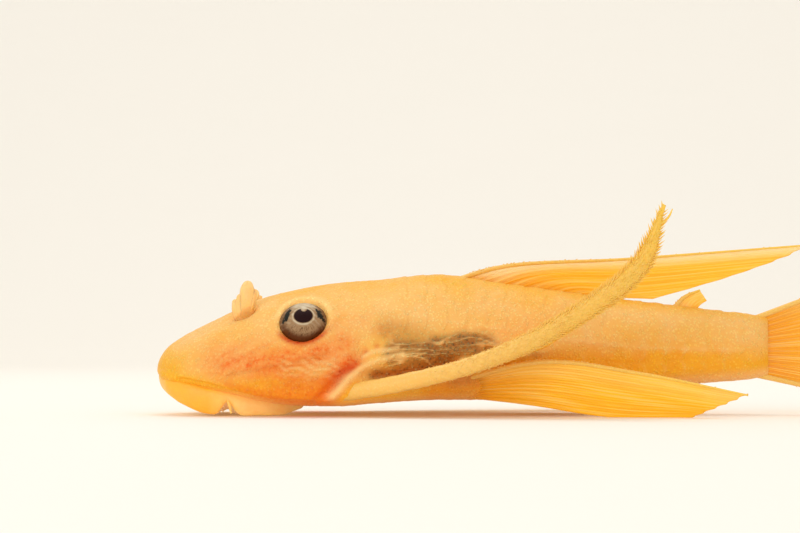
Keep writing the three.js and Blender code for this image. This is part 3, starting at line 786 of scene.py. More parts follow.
        # Raised dots stand on the head and the plates, fewest towards the tail
        dotted = clamp(0.25 * head + plated) * (away > 2.9) * mix(1.0, 0.4, smooth(27, 34, x))
        dotted = dotted * smooth(1.5, 4, x) * smooth(60.2, 58, x)
        paint = {
            "blush": clamp(blush), "deep": clamp(deep), "amber": clamp(amber), "cleft_shade": clamp(cleft_shade),
            "cream": clamp(cream), "shade": clamp(shade), "rust": rust, "under_eye_shade": under_eye_shade,
            "lined": lined, "wrinkled": patch * (0.5 + 0.5 * smooth(-0.8, 0.4, crimp)),
            "lit": lower_edge + over_eye, "belly": smooth(-0.5, -1.0, t) * smooth(3, 9, x),
            "armour": dotted * smooth(0.5, 1.4, z - FORM.size("bottom", x)),
        }
        return points, paint

    def build(self, material: bpy.types.Material) -> bpy.types.Object:
        """Makes the piece in its finish.

        Args:
            material: its finish.

        Returns:
            The finished piece.
        """
        points, paint = self.shaped()
        tip = np.array([[0.0, 0.0, FORM.size("top", 0)]])
        body, faces = ringed(points, tip, points[-1].mean(axis=0, keepdims=True))
        painted = {key: np.append(v, [v[0].mean(), v[-1].mean()]) for key, v in paint.items()}
        shell = Shell()
        shell.add(body, faces, painted)
        return shell.piece(self.name, [material])


@dataclass
class Eye:
    """One eye: a ball with a silvery iris and a pupil that a small flap notches from above."""

    side: Side
    pupil_wide: float = 0.94
    pupil_high: float = 0.85
    dip: float = 8.0
    # Dark blots beside the pupil: distance behind it, height and size
    blots: Sequence[tuple[float, float, float]] = (
        (-1.45, 0.85, 0.18), (-1.75, 0.75, 0.3), (-1.55, 0.3, 0.26), (-2.0, 0.35, 0.3), (-1.8, -0.1, 0.26),
        (-2.2, -0.2, 0.26), (-1.55, 1.2, 0.17), (1.4, 0.85, 0.22), (1.68, 0.5, 0.33), (1.98, 0.25, 0.3),
        (1.55, 0.15, 0.22), (1.8, 1.0, 0.2), (1.3, 1.15, 0.13), (2.2, -0.1, 0.22), (-0.1, -1.35, 0.08))
    rings: int = 90
    around: int = 128
    back: float = 0.8  # how far behind its middle the ball is closed

    def build(self, material: bpy.types.Material) -> bpy.types.Object:
        """Makes the ball about its line of sight, and paints the iris in rings round it.

        Args:
            material: its finish.

        Returns:
            The finished piece.
        """
        middle, out = FORM.eye(self.side)
        gaze = math.atan2(out[2], abs(out[1])) - math.radians(self.dip)
        out = np.array([0.0, self.side.value * math.cos(gaze), math.sin(gaze)])
        fore = np.array([-1.0, 0.0, 0.0])
        up = unit(np.array([0.0, 0.0, 1.0]) - out[2] * out)
        tilt = np.linspace(0, 0.62 * math.pi, self.rings + 1)[1:]
        a, b = np.meshgrid(tilt, full_turn(self.around), indexing="ij")
        swell = FORM.EYE_RADIUS - 0.04 + 0.04 * hill(a, 0, 0.5)
        way = (np.cos(a)[..., None] * out + (np.sin(a) * np.cos(b))[..., None] * fore
               + (np.sin(a) * np.sin(b))[..., None] * up)
        points, faces = ringed(middle + way * swell[..., None], middle + out * FORM.EYE_RADIUS,
                               middle - out * self.back)
        across, high = a * FORM.EYE_RADIUS * np.cos(b), a * FORM.EYE_RADIUS * np.sin(b)
        paint = self.iris(across, high, a * FORM.EYE_RADIUS, b)
        painted = {key: np.append(v, [float(key == "pupil"), 0]) for key, v in paint.items()}
        shell = Shell()
        shell.add(points, faces, painted)
        return shell.piece(f"eye_{self.side.label}_ball", [material])

    def iris(self, across: Array, high: Array, away: Array, turn: Array) -> dict[str, Array]:
        """The painted values of the iris, by place on it in millimetres.

        Args:
            across: distances before the pupil's middle.
            high: distances above it.
            away: distances from it.
            turn: angles round it.

        Returns:
            The values by name.
        """
        ring = np.hypot(across / self.pupil_wide, high / self.pupil_high)
        flap = np.hypot((across + 0.04) / 0.3, (high - 0.78) / 0.36)
        pupil = smooth(1.04, 0.96, ring) * smooth(0.92, 1.08, flap)
        wobble = Ripple(3, 0.55).at(across, high, 0 * away)
        speck = Ripple(8, 0.3).at(across, high, 0 * away)
        blots = sum(hill(np.hypot(across + x, high - z), 0, size) for x, z, size in self.blots)
        specks = smooth(0.32, 0.75, blots + 0.5 * speck * smooth(0.05, 0.4, blots))
        specks = specks + 0.5 * smooth(0.5, 1.2, speck) * smooth(1.5, 2.0, away)
        streak = np.clip(np.sin(turn * 40 + 3 * wobble) * 0.6 + 0.5 * speck, 0, 1)
        lower = smooth(-0.4, -1.6, high)
        silver = 0.75 * hill(ring, 1.14, 0.1) + 0.7 * hill(flap, 0.2, 0.6)
        silver = silver + 0.8 * smooth(0.7, 1.4, high) * smooth(1.8, 0.6, np.abs(across))
        silver = silver + 0.25 * wobble * (1 - lower)
        return {
            "pupil": pupil,
            "specks": np.clip(specks * smooth(1.3, 1.7, ring), 0, 1),
            "streaks": np.clip(streak * lower * smooth(1.3, 1.6, ring), 0, 1),
            "silver": np.clip(silver, 0, 1) * (1 - pupil),
            "outer": smooth(1.7, 2.35, away) * mix(0.62, 1.0, lower),
        }


@dataclass(frozen=True)
class FinWeave:
    """How a fin is woven: its mesh, thicknesses and the way its rays branch."""

    steps: int = 90
    between: int = 12
    web: float = 0.2
    ridge: float = 0.32
    tip: float = 0.06
    notch: float = 0.006
    fray: float = 0.005
    split: float = 0.25
    floor: float = 0.03
    crimp: float = 0.06


@dataclass
class Fin:
    """A fin: branching rays joined by a thin skin, in one closed sheet, and stout edge rays."""

    name: str
    rays: Sequence[Curve]
    weave: FinWeave = FinWeave()
    seed: int = 1
    stout: Sequence[int] = ()
    stout_radius: float = 0.3
    # Over which share of the reach the skin grows out of the body
    grows: tuple[float, float] = (-0.2, -0.1)
    # How pale its leading edge is
    pale: float = 0.3

    def middle(self) -> tuple[Array, Array, Array]:
        """The sheet's middle surface.

        Returns:
            Its points, and for each the number of rays passed and the share of the reach.
        """
        w = self.weave
        fine = np.linspace(0, 1, 4 * w.steps + 1)
        lines = np.stack([ray.at(fine) for ray in self.rays])
        count = len(self.rays)
        lines = np.concatenate([2 * lines[:1] - lines[1:2], lines, 2 * lines[-1:] - lines[-2:-1]])
        c = np.linspace(0, count - 1, (count - 1) * w.between + 1)
        i = np.minimum(c.astype(int), count - 2)
        u = (c - i)[:, None, None]
        p0, p1, p2, p3 = (lines[i + k] for k in range(4))
        sheet = 0.5 * (2 * p1 + (p2 - p0) * u + (2 * p0 - 5 * p1 + 4 * p2 - p3) * u**2
                       + (3 * p1 - p0 - 3 * p2 + p3) * u**3)
        draw = np.random.default_rng(self.seed)
        ends = np.interp(c, np.arange(0, count, 0.25), draw.uniform(0, w.fray, 4 * count))
        reach = 1 - w.notch * np.sin(math.pi * np.mod(c, 1)) ** 2 - ends
        f = np.linspace(0, 1, w.steps + 1)
        place = f[None] * reach[:, None] * (len(fine) - 1)
        low = np.minimum(place.astype(int), len(fine) - 2)
        share = (place - low)[..., None]
        rows = np.arange(len(c))[:, None]
        points = sheet[rows, low] * (1 - share) + sheet[rows, low + 1] * share
        return points, np.broadcast_to(c[:, None], place.shape), np.broadcast_to(f, place.shape)

    def ridges(self, c: Array, f: Array) -> Array:
        """How much each point lies on a ray: a ray splits in two, and near its tip again.

        Args:
            c: the number of rays passed.
            f: the share of the reach.

        Returns:
            1 on a ray, falling to 0 beside it.
        """
        w = self.weave
        offset = np.abs(c - np.round(c))
        offset = np.abs(offset - w.split * smooth(-0.1, 0.24, f))
        offset = np.abs(offset - 0.5 * w.split * smooth(0.12, 0.55, f))
        width = mix(0.09, 0.045, smooth(0.0, 0.5, f))
        return np.exp(-((offset / width) ** 2))

    def shell(self) -> Shell:
        """The closed sheet, thick at its root and over the rays.

        Returns:
            The sheet and the stout rays.
        """
        w = self.weave
        middle, c, f = self.middle()
        normal = sheet_normals(middle)
        ray = self.ridges(c, f)
        thick = mix(mix(w.web, w.ridge, ray), w.tip, smooth(0.0, 1.05, f) ** 0.8)
        joints = 0.02 * ray * np.sin(f * 150) * smooth(0.25, 0.4, f)
        crimp = w.crimp * Ripple(self.seed + 40, 2.2).at(*np.moveaxis(middle, -1, 0)) * smooth(0.1, 0.8, f)
        middle = middle + normal * crimp[..., None]
        ring, faces = thicken(middle, normal, thick + joints)
        ring[..., 2] = np.maximum(ring[..., 2], w.floor)
        streak = 0.45 * Ripple(self.seed + 60, 1.1).at(c, 0 * c, 1.2 * f)
        streak = streak + Ripple(self.seed + 80, 0.3, 12).at(c, 0 * c, 0.7 * f)
        values = {"ray": ray, "reach": f, "streak": 0.5 + 0.5 * np.tanh(1.2 * streak),
                  "pale": self.pale * smooth(2.6, 0.7, c) * smooth(0.05, 0.25, f),
                  "full": smooth(*self.grows, f)}
        shell = Shell()
        shell.add(ring.reshape(-1, 3), faces,
                  {key: there_and_back(v, v).ravel() for key, v in values.items()})
        for i in self.stout:
            points, faces, share, lie = tapered_bar(
                self.rays[i], lambda f: self.stout_radius * mix(1, 0.28, f**0.8), 130, 12)
            points[:, 2] = np.maximum(points[:, 2], w.floor)
            armed = 0.8 * smooth(0.12, 0.2, share) * smooth(0.5, 1.0, points[:, 2])
            shell.add(points, faces, {"reach": share, "ray": np.ones(len(share)), "lie": lie,
                                      "armour": armed, "stud": mix(0.45, 0.3, share)}, 1)
        return shell

    def build(self, web: bpy.types.Material, spine: bpy.types.Material, studs: StudTree) -> bpy.types.Object:
        """Makes the fin in the finish of its web, with spine and studs on its stout rays."""
        piece = self.shell().piece(self.name, [web, spine])
        return studs.dress(piece, self.name, spine) if self.stout else piece


def dorsal_rays() -> list[Curve]:
    """A spine and seven soft rays, folded back low over the tail stem.

    Returns:
        The rays from front to rear.
    """
    rays = []
    for f in np.linspace(0, 1, 8):
        root = mix(28.6, 42, f)
        tip_x, tip_z = mix(65, 49.5, f**1.7), mix(16.9, 11.5, f**1.3)
        back = float(FORM.size("top", root))
        near_x, half_x = mix(root, tip_x, 0.16), mix(root, tip_x, 0.5)
        # The last rays lie along the back
        lying = f**3
        near_z = mix(mix(back, tip_z, 0.16) + 0.35 - 0.1 * f, FORM.size("top", near_x) - 0.1, lying)
        half_z = mix(mix(back, tip_z, 0.5) + 0.1 * (1 - f), FORM.size("top", half_x) + 0.1, lying)
        sway = 0.55 * math.sin(2.4 * f + 0.4)
        rays.append(Curve((root, 0, back - 0.9), (near_x, 0.02, float(near_z)),
                          (half_x, 0.35 * sway, float(half_z)), (tip_x, sway, tip_z)))
    return rays


def adipose_rays() -> list[Curve]:
    """A short slanting spine with a web behind it.

    Returns:
        The spine and two rays behind it.
    """
    rays = []
    for i in range(3):
        root = 51.2 + 1.1 * i
        back = float(FORM.size("top", root))
        rays.append(Curve((root, 0, back - 0.9), (root + 1.4 - 0.3 * i, 0, back + 0.75 - 0.25 * i),
                          (root + 3.0 - 0.75 * i, 0, back + 1.5 - 0.4 * i)))
    return rays


def tail_rays() -> list[Curve]:
    """Fourteen rays, the lowest laid along the tank bottom.

    Returns:
        The rays from top to bottom.
    """
    rays = []
    for f in np.linspace(0, 1, 14):
        root_z = mix(9.3, 4.1, f)
        reach = mix(27, 30, f) - 3.6 * math.sin(math.pi * f)
        tip_z = max(0.0, mix(18.6, -1.2, f))
        sway = 1.1 * math.sin(3.0 * f + 0.6)
        bow = mix(1.2, -1.7, f)
        rays.append(Curve(
            (FORM.LENGTH - 1, 0, root_z),
            (FORM.LENGTH + 0.33 * reach, 0.25 * sway, max(0.0, mix(root_z, tip_z, 0.33) + 0.55 * bow)),
            (FORM.LENGTH + 0.66 * reach, 0.7 * sway, max(0.0, mix(root_z, tip_z, 0.66) + 0.4 * bow)),
            (FORM.LENGTH + reach, sway + 0.3, tip_z),
        ))
    return rays


def anal_rays() -> list[Curve]:
    """Five short rays under the tail stem.

    Returns:
        The rays from front to rear.
    """
    rays = []
    for i in range(5):
        root = 44.5 + 0.9 * i
        belly = float(FORM.size("bottom", root))
        rays.append(Curve((root, 0, belly + 0.9), (root + 2.6 - 0.2 * i, 0.1, belly - 0.75 + 0.2 * i),
                          (root + 10.5 - 1.1 * i, 0.35, 0.55 + 0.32 * i)))
    return rays


def pelvic_rays(side: Side) -> list[Curve]:
    """A spine arched beside the flank, and rays that fan down to the tank bottom.

    Args:
        side: which fin.

    Returns:
        The rays from the outside in.
    """
    s = side.value
    return [
        Curve(
            (26.8 + 1.2 * f, s * (5.7 - 1.4 * f), 2.5 - 0.4 * f),
            (mix(37.6, 36.7, f), s * mix(9.6, 8.0, f), mix(5.3, 1.15, f)),
            (mix(47.1, 44.6, f), s * mix(11.2, 9.6, f), mix(4.2, 0, f)),
            (mix(57.0, 52.0, f), s * mix(12.6, 10.6, f), mix(2.2, 0, f)),
        )
        for f in np.linspace(0, 1, 6)
    ]


@dataclass
class Pectoral:
    """A pectoral fin: a stout armed spine swept back and up, with soft rays folded in behind it."""

    side: Side
    rays: int = 7
    # The spine's line, as (distance from the snout, distance from the middle, height)
    poses: dict[Side, Sequence[tuple[float, float, float]]] = field(default_factory=lambda: {
        Side.LEFT: ((17.9, 8.4, 2.2), (24.2, 11.0, 3.3), (31.8, 12.0, 5.3), (39.3, 13.0, 8.8),
                    (46.7, 13.6, 14.4), (49.0, 14.0, 20.1)),
        Side.RIGHT: ((17.9, 8.4, 2.2), (24.2, 11.2, 3.4), (31.6, 13.2, 5.6), (39.0, 15.2, 8.4),
                     (45.8, 16.6, 11.2), (50.0, 17.0, 13.6)),
    })

    def spine(self) -> Curve:
        """The line down the middle of the spine."""
        return Curve(*[(x, self.side.value * y, z) for x, y, z in self.poses[self.side]])

    @staticmethod
    def radius(f: Array) -> Array:
        """The spine's radius at shares of its length."""
        return (0.82 + 0.05 * hill(f, 0.68, 0.2)) * (1 - 0.8 * smooth(0.76, 1.02, f) ** 1.3)

    def soft_rays(self) -> list[Curve]:
        """The spine's line and the soft rays, each a little shorter and further in than the last.

        Returns:
            The lines from the outside in.
        """
        spine = self.spine()
        rays = []
        for i in range(self.rays):
            reach = 1 - 0.075 * i
            points = []
            for f in (0, 0.2, 0.4, 0.6, 0.75, 0.88, 1):
                shift = (0.2 * i * f, -self.side.value * i * (0.25 + 0.8 * f), i * (0.12 - 0.27 * f))
                points.append(spine.at(f * reach)[0] + shift)
            rays.append(Curve(*points))
        return rays

    def build(self, web: bpy.types.Material, spine: bpy.types.Material,
              studs: StudTree) -> bpy.types.Object:
        """Makes the fin, its spine armed with small studs.

        Args:
            web: the finish of the skin.
            spine: the finish of the spine and studs.
            studs: what strews the studs.

        Returns:
            The finished piece.
        """
        name = f"pectoral_{self.side.label}_dressed"
        shell = Fin(name, self.soft_rays(), FinWeave(steps=110, ridge=0.36, web=0.16),
                    30 + self.side.value, grows=(0.07, 0.17)).shell()
        points, faces, share, lie = tapered_bar(self.spine(), self.radius, 220, 26, 0.86)
        wobble = Ripple(61, 0.9).at(*points.T)
        centre = self.spine().at(share)
        points = centre + (points - centre) * (1 + 0.04 * wobble)[:, None]
        off = (points - centre) / np.maximum(self.radius(share), 0.1)[:, None]
        edge = smooth(0.62, 0.25, np.abs(off[:, 1]))
        shell.add(points, faces, {"reach": share, "ray": np.ones(len(share)), "lie": lie,
                                  "armour": smooth(0.2, 0.5, share),
                                  "stud": mix(0.22, mix(0.4, 1.2, edge), smooth(0.36, 0.75, share))}, 1)
        if self.side is Side.LEFT:
            # The tip of the raised spine is forked
            prong = Curve(self.spine().at(0.93)[0], (49.35, -14.1, 18.9), (49.75, -14.2, 19.7))
            points, faces, share, lie = tapered_bar(prong, lambda f: mix(0.17, 0.05, f), 16, 10)
            shell.add(points, faces, {"reach": 1 + 0 * share, "ray": 1 + 0 * share, "lie": lie}, 1)
        piece = shell.piece(name, [web, spine])
        return studs.dress(piece, name, spine)


# What repeats: small studs strewn by geometry nodes

@dataclass
class StudTree:
    """Geometry nodes that strew small pointed studs over a piece, where it is painted as armoured.

    The piece carries three painted values: armour, how close the studs stand, lie, the way
    that they lean, and stud, how large each is against the full length.
    """

    name: str
    spacing: float
    length: float
    radius: float
    lean: float
    seed: int
    sides: int = 5
    densest: float = 6.0e7  # studs to a square metre where armour is 1, before the spacing thins them
    smallest: float = 0.65
    largest: float = 1.25

    def tree(self) -> bpy.types.NodeTree:
        """Builds the node tree, with named inputs for its sizes.

        Returns:
            The tree.
        """
        tree = bpy.data.node_groups.new(self.name, "GeometryNodeTree")
        sizes = [(label, "Float") for label in ("Spacing", "Length", "Radius", "Lean")]
        for label, kind in (("Geometry", "Geometry"), *sizes, ("Material", "Material")):
            tree.interface.new_socket(label, in_out="INPUT", socket_type=f"NodeSocket{kind}")
        tree.interface.new_socket("Geometry", in_out="OUTPUT", socket_type="NodeSocketGeometry")
        bench = Bench(tree)
        given = bench.node("NodeGroupInput").outputs

        def painted(label: str, kind: str) -> bpy.types.NodeSocket:
            """A painted value of the piece."""
            node = bench.node("GeometryNodeInputNamedAttribute", {"data_type": kind}, Name=label)
            return node.outputs["Attribute"]

        strew = bench.node("GeometryNodeDistributePointsOnFaces", {"distribute_method": "POISSON"},
                           Mesh=given["Geometry"], Distance_Min=given["Spacing"], Density_Max=self.densest,
                           Density_Factor=painted("armour", "FLOAT"), Seed=self.seed)
        lean = bench.node("ShaderNodeVectorMath", {"operation": "SCALE"},
                          Vector=painted("lie", "FLOAT_VECTOR"), Scale=given["Lean"])
        way = bench.node("ShaderNodeVectorMath", {"operation": "ADD"}, Vector=strew.outputs["Normal"])
        bench.feed(way.inputs[1], lean.outputs[0])
        turn = bench.node("FunctionNodeAlignRotationToVector", {"axis": "Z"}, Vector=way.outputs[0])
        cone = bench.node("GeometryNodeMeshCone", {"fill_type": "NONE"}, Vertices=self.sides,
                          Radius_Top=0.0, Radius_Bottom=given["Radius"], Depth=given["Length"])
        draw = bench.node("FunctionNodeRandomValue", {"data_type": "FLOAT"}, Min=self.smallest,
                          Max=self.largest, Seed=self.seed + 1)
        thick = next(s for s in draw.outputs if s.type == "VALUE" and s.enabled)
        stretch = bench.node("ShaderNodeCombineXYZ", X=thick, Y=thick,
                             Z=bench.times(thick, painted("stud", "FLOAT")))
        stand = bench.node("GeometryNodeInstanceOnPoints", Points=strew.outputs["Points"],
                           Instance=cone.outputs["Mesh"], Rotation=turn.outputs["Rotation"],
                           Scale=stretch.outputs[0])
        real = bench.node("GeometryNodeRealizeInstances", Geometry=stand.outputs["Instances"])
        studs = bench.node("GeometryNodeSetMaterial", Geometry=real.outputs["Geometry"],
                           Material=given["Material"])
        both = bench.node("GeometryNodeJoinGeometry", Geometry=studs.outputs["Geometry"])
        bench.feed(both.inputs["Geometry"], given["Geometry"])
        bench.node("NodeGroupOutput", Geometry=both.outputs["Geometry"])
        return tree

    def dress(self, piece: bpy.types.Object, name: str, material: bpy.types.Material) -> bpy.types.Object:
        """Strews the studs over a piece and makes the whole a plain mesh.

        Args:
            piece: the piece to arm.
            name: the name of the finished piece.
            material: what the studs wear.

        Returns:
            A new object that takes the piece's place.
        """
        modifier = piece.modifiers.new(self.name, "NODES")
        modifier.node_group = self.tree()
        given = {"Spacing": self.spacing * MM, "Length": self.length * MM, "Radius": self.radius * MM,
                 "Lean": self.lean, "Material": material}
        for item in modifier.node_group.interface.items_tree:
            if item.in_out == "INPUT" and item.name in given:
                modifier[item.identifier] = given[item.name]
        bpy.context.view_layer.update()
        seen = piece.evaluated_get(bpy.context.evaluated_depsgraph_get())
        mesh = bpy.data.meshes.new_from_object(seen)
        piece.modifiers.remove(modifier)
        old = piece.data
        bpy.data.objects.remove(piece)
        bpy.data.meshes.remove(old)
        mesh.name = name
        armed = bpy.data.objects.new(name, mesh)
        bpy.context.scene.collection.objects.link(armed)
        return armed


# The mouth and the nose

@dataclass
class Lips:
    """A round sucker under the snout, its upper lip rising to the front."""

    centre: float = 7.6
    front: float = 7.45
    rear: float = 6.9
    width: float = 6.7
    mouth_x: float = 6.9
    around: int = 180
    sunk: float = 0.75  # how far its hidden top reaches into the head

    def plan(self, r: float, turn: Array) -> tuple[Array, Array]:
        """The pad's outline from below at share r of its reach, a little squarer in front.

        Args:
            r: the share of its reach.
            turn: angles round it.

        Returns:
            Distances from the snout and the middle.
        """
        c, s = np.cos(turn), np.sin(turn)
        n = np.where(c < 0, 2.3, 2.0)
        out = (np.abs(c) ** n + np.abs(s) ** n) ** (-1 / n)
        return self.centre + np.where(c < 0, self.front, self.rear) * r * out * c, self.width * r * out * s

    def under(self, x: Array, y: Array) -> Array:
        """Height of the sucker's underside.

        Args:
            x: distances from the snout.
            y: distances from the middle.

        Returns:
            The heights.
        """
        upper = np.where(x < 7, 3.1 * np.maximum(1 - x / 7, 0) ** 1.9, 0)
        mouth = 1.15 * (1 - smooth(0.75, 1.15, np.hypot((x - self.mouth_x) / 1.35, y / 3.4)))
        corner = 1.35 * hill(x, 7.45, 0.72) * smooth(3.0, 4.6, np.abs(y))
        return upper + mouth + corner + 0.5 * smooth(12.4, 14.5, x)

    def shell(self) -> Shell:
        """The pad: its underside out to a soft rounded rim, and its hidden top.

        Returns:
            The closed pad.
        """
        turn = full_turn(self.around)
        rows, armour, rim = [], [], []
        for r in np.linspace(0.02, 0.93, 34):
            x, y = self.plan(r, turn)
            folds = 0.05 * np.sin(9 * turn + 16 * r) * smooth(0.35, 0.6, r)
            raised = mix(0.2, 0.03, smooth(0.82, 0.93, r))
            rows.append(np.stack([x, y, self.under(x, y) + raised + np.abs(folds)], -1))
            armour.append(smooth(0.3, 0.4, r) * smooth(0.9, 0.84, r) * np.ones(self.around))
            rim.append(r * np.ones(self.around))
        for a in np.linspace(-1.2, 1.45, 14):
            bulge = 0.93 + 0.07 * math.cos(a)
            wave = 1 + 0.008 * np.sin(7 * turn + 0.6) + 0.006 * np.sin(17 * turn)
            x, y = self.plan(bulge * wave, turn)
            low = self.under(x, y) + 0.03
            snout = 0.55 * smooth(3.5, 0.4, x)
            high = np.maximum(FORM.size("bottom", np.maximum(x, 0.3)) + 0.4 + snout, low + 0.5)
            rows.append(np.stack([x, y, mix(low, high, (math.sin(a) + 1) / 2)], -1))
            armour.append(np.zeros(self.around))
            rim.append(np.full(self.around, 1.0))
        x, y = self.plan(0.55, turn)
        rows.append(np.stack([x, y, FORM.size("bottom", x) + self.sunk], -1))
        armour.append(np.zeros(self.around))
        rim.append(np.ones(self.around))
        low = float(self.under(np.array(self.centre), np.array(0.0))) + 0.2
        high = float(FORM.size("bottom", self.centre)) + self.sunk
        body, faces = ringed(np.stack(rows), np.array([self.centre, 0, low]),
                             np.array([self.centre, 0, high]))
        shell = Shell()
        shell.add(body, faces, {
            "armour": np.append(np.concatenate(armour), [0, 0]),
            "rim": np.append(np.concatenate(rim), [0, 1]),
            "stud": np.ones(len(body)),
            "lie": np.zeros((len(body), 3)),
        })
        return shell

    def build(self, material: bpy.types.Material, teeth: bpy.types.Material,
              papillae: StudTree) -> bpy.types.Object:
        """Makes the lips with their papillae, teeth and barbels.

        Args:
            material: the finish of the lips.
            teeth: the finish of the teeth.
            papillae: what strews the papillae.

        Returns:
            The finished piece.
        """
        shell = self.shell()
        for side in Side:
            s = side.value
            barbel = Curve((7.0, s * 5.2, 2.3), (7.4, s * 6.2, 1.75), (7.7, s * 6.65, 1.05),
                           (7.85, s * 6.85, 0.3))
            points, faces, share, _ = tapered_bar(barbel, lambda f: mix(0.26, 0.09, f), 24, 12)
            shell.add(points, faces, {"rim": 1 + 0 * share})
        for x, lean in ((self.mouth_x - 0.75, 0.35), (self.mouth_x + 0.75, -0.35)):
            for y in np.linspace(-2.1, 2.1, 26):
                tooth = Curve((x, y, 1.5), (x + 0.4 * lean, y, 1.05), (x + 1.3 * lean, y, 0.72))
                points, faces, share, _ = tapered_bar(tooth, lambda f: mix(0.055, 0.03, f), 4, 5)
                shell.add(points, faces, {"rim": 0 * share}, 1)
        piece = shell.piece("lips_dressed", [material, teeth])
        return papillae.dress(piece, "lips_dressed", material)


@dataclass
class NostrilFlap:
    """The soft lobed fringe that stands up from a nostril."""

    side: Side
    base: float = 2.25
    stands_at: float = 8.85  # distance of its middle from the snout
    angle: float = 1.02  # where it stands round the head
    sunk: float = 0.6  # how far its base lies under the skin
    right_share: float = 0.82  # the height of the right one against the left
    # Its lobes, as (distance along the base, reach, radius)
    lobes: Sequence[tuple[float, float, float]] = (
        (0.36, 1.5, 0.36), (0.8, 2.0, 0.34), (1.42, 3.3, 0.5), (1.92, 2.5, 0.33))

    def height(self, u: Array) -> Array:
        """How far the fringe stands up at share u of its base: round lobes, the tallest behind.

        Args:
            u: shares of the base.

        Returns:
            The heights.
        """
        tall = [0.9 + 0 * u]
        for at, reach, round_ in self.lobes:
            across = np.clip(np.abs(self.base * u - at) / round_, 0, 1)
            tall.append((reach - round_ + round_ * np.sqrt(1 - across**2)) * (across < 1))
        return np.max(tall, axis=0)

    def build(self, material: bpy.types.Material) -> bpy.types.Object:
        """Makes the flap as a small crimped sheet with a rounded, lobed edge.

        Args:
            material: its finish.

        Returns:
            The finished piece.
        """
        s = self.side.value
        u, v = np.meshgrid(np.linspace(0, 1, 150), np.linspace(0, 1, 60), indexing="ij")
        # The base follows the skin, a little below it
        y, z = FORM.section(self.stands_at + mix(-1.0, 1.15, u), np.full(u.shape, self.angle))
        root = np.stack([np.full(u.shape, self.stands_at), s * y, z - self.sunk], -1)
        peak = float(FORM.section(np.array(self.stands_at), np.array(self.angle))[1])
        share = 1.0 if self.side is Side.LEFT else self.right_share
        tall = (self.height(u) * share + peak - z + self.sunk) * v
        crimp = Ripple(70 + s, 1.5).at(u * 2.4, tall, 0 * u)
        x = mix(-1.1, 1.15, u) * mix(0.74, 1.0, smooth(0.1, 0.75, v))
        x = x + 0.2 * v**2 * (u - 0.2) + 0.05 * crimp * v
        bend = 0.55 * (u - 0.5) ** 2 * 4 * (1 - 0.4 * v) - 0.2 + 0.16 * crimp * v + 0.1 * v**2
        middle = root + np.stack([x, -s * bend, tall], -1)
        edge = np.minimum(smooth(0, 0.12, u), smooth(1, 0.9, u))
        thick = mix(0.62, 0.4, v) * np.sqrt(clamp(1.02 - v**6)) * (0.3 + 0.7 * edge)
        ring, faces = thicken(middle, sheet_normals(middle), thick * (1 + 0.25 * crimp))
        shell = Shell()
        shell.add(ring.reshape(-1, 3), faces, {"reach": there_and_back(v, v).ravel()})
        return shell.piece(f"nostril_flap_{self.side.label}_dressed", [material])


# Finishes

def linear(red: int, green: int, blue: int) -> tuple[float, float, float, float]:
    """A colour given as seen on screen, 0 to 255, as the shader's linear numbers."""
    channels = [v / 255 for v in (red, green, blue)]
    return (*[v / 12.92 if v <= 0.04045 else ((v + 0.055) / 1.055) ** 2.4 for v in channels], 1.0)


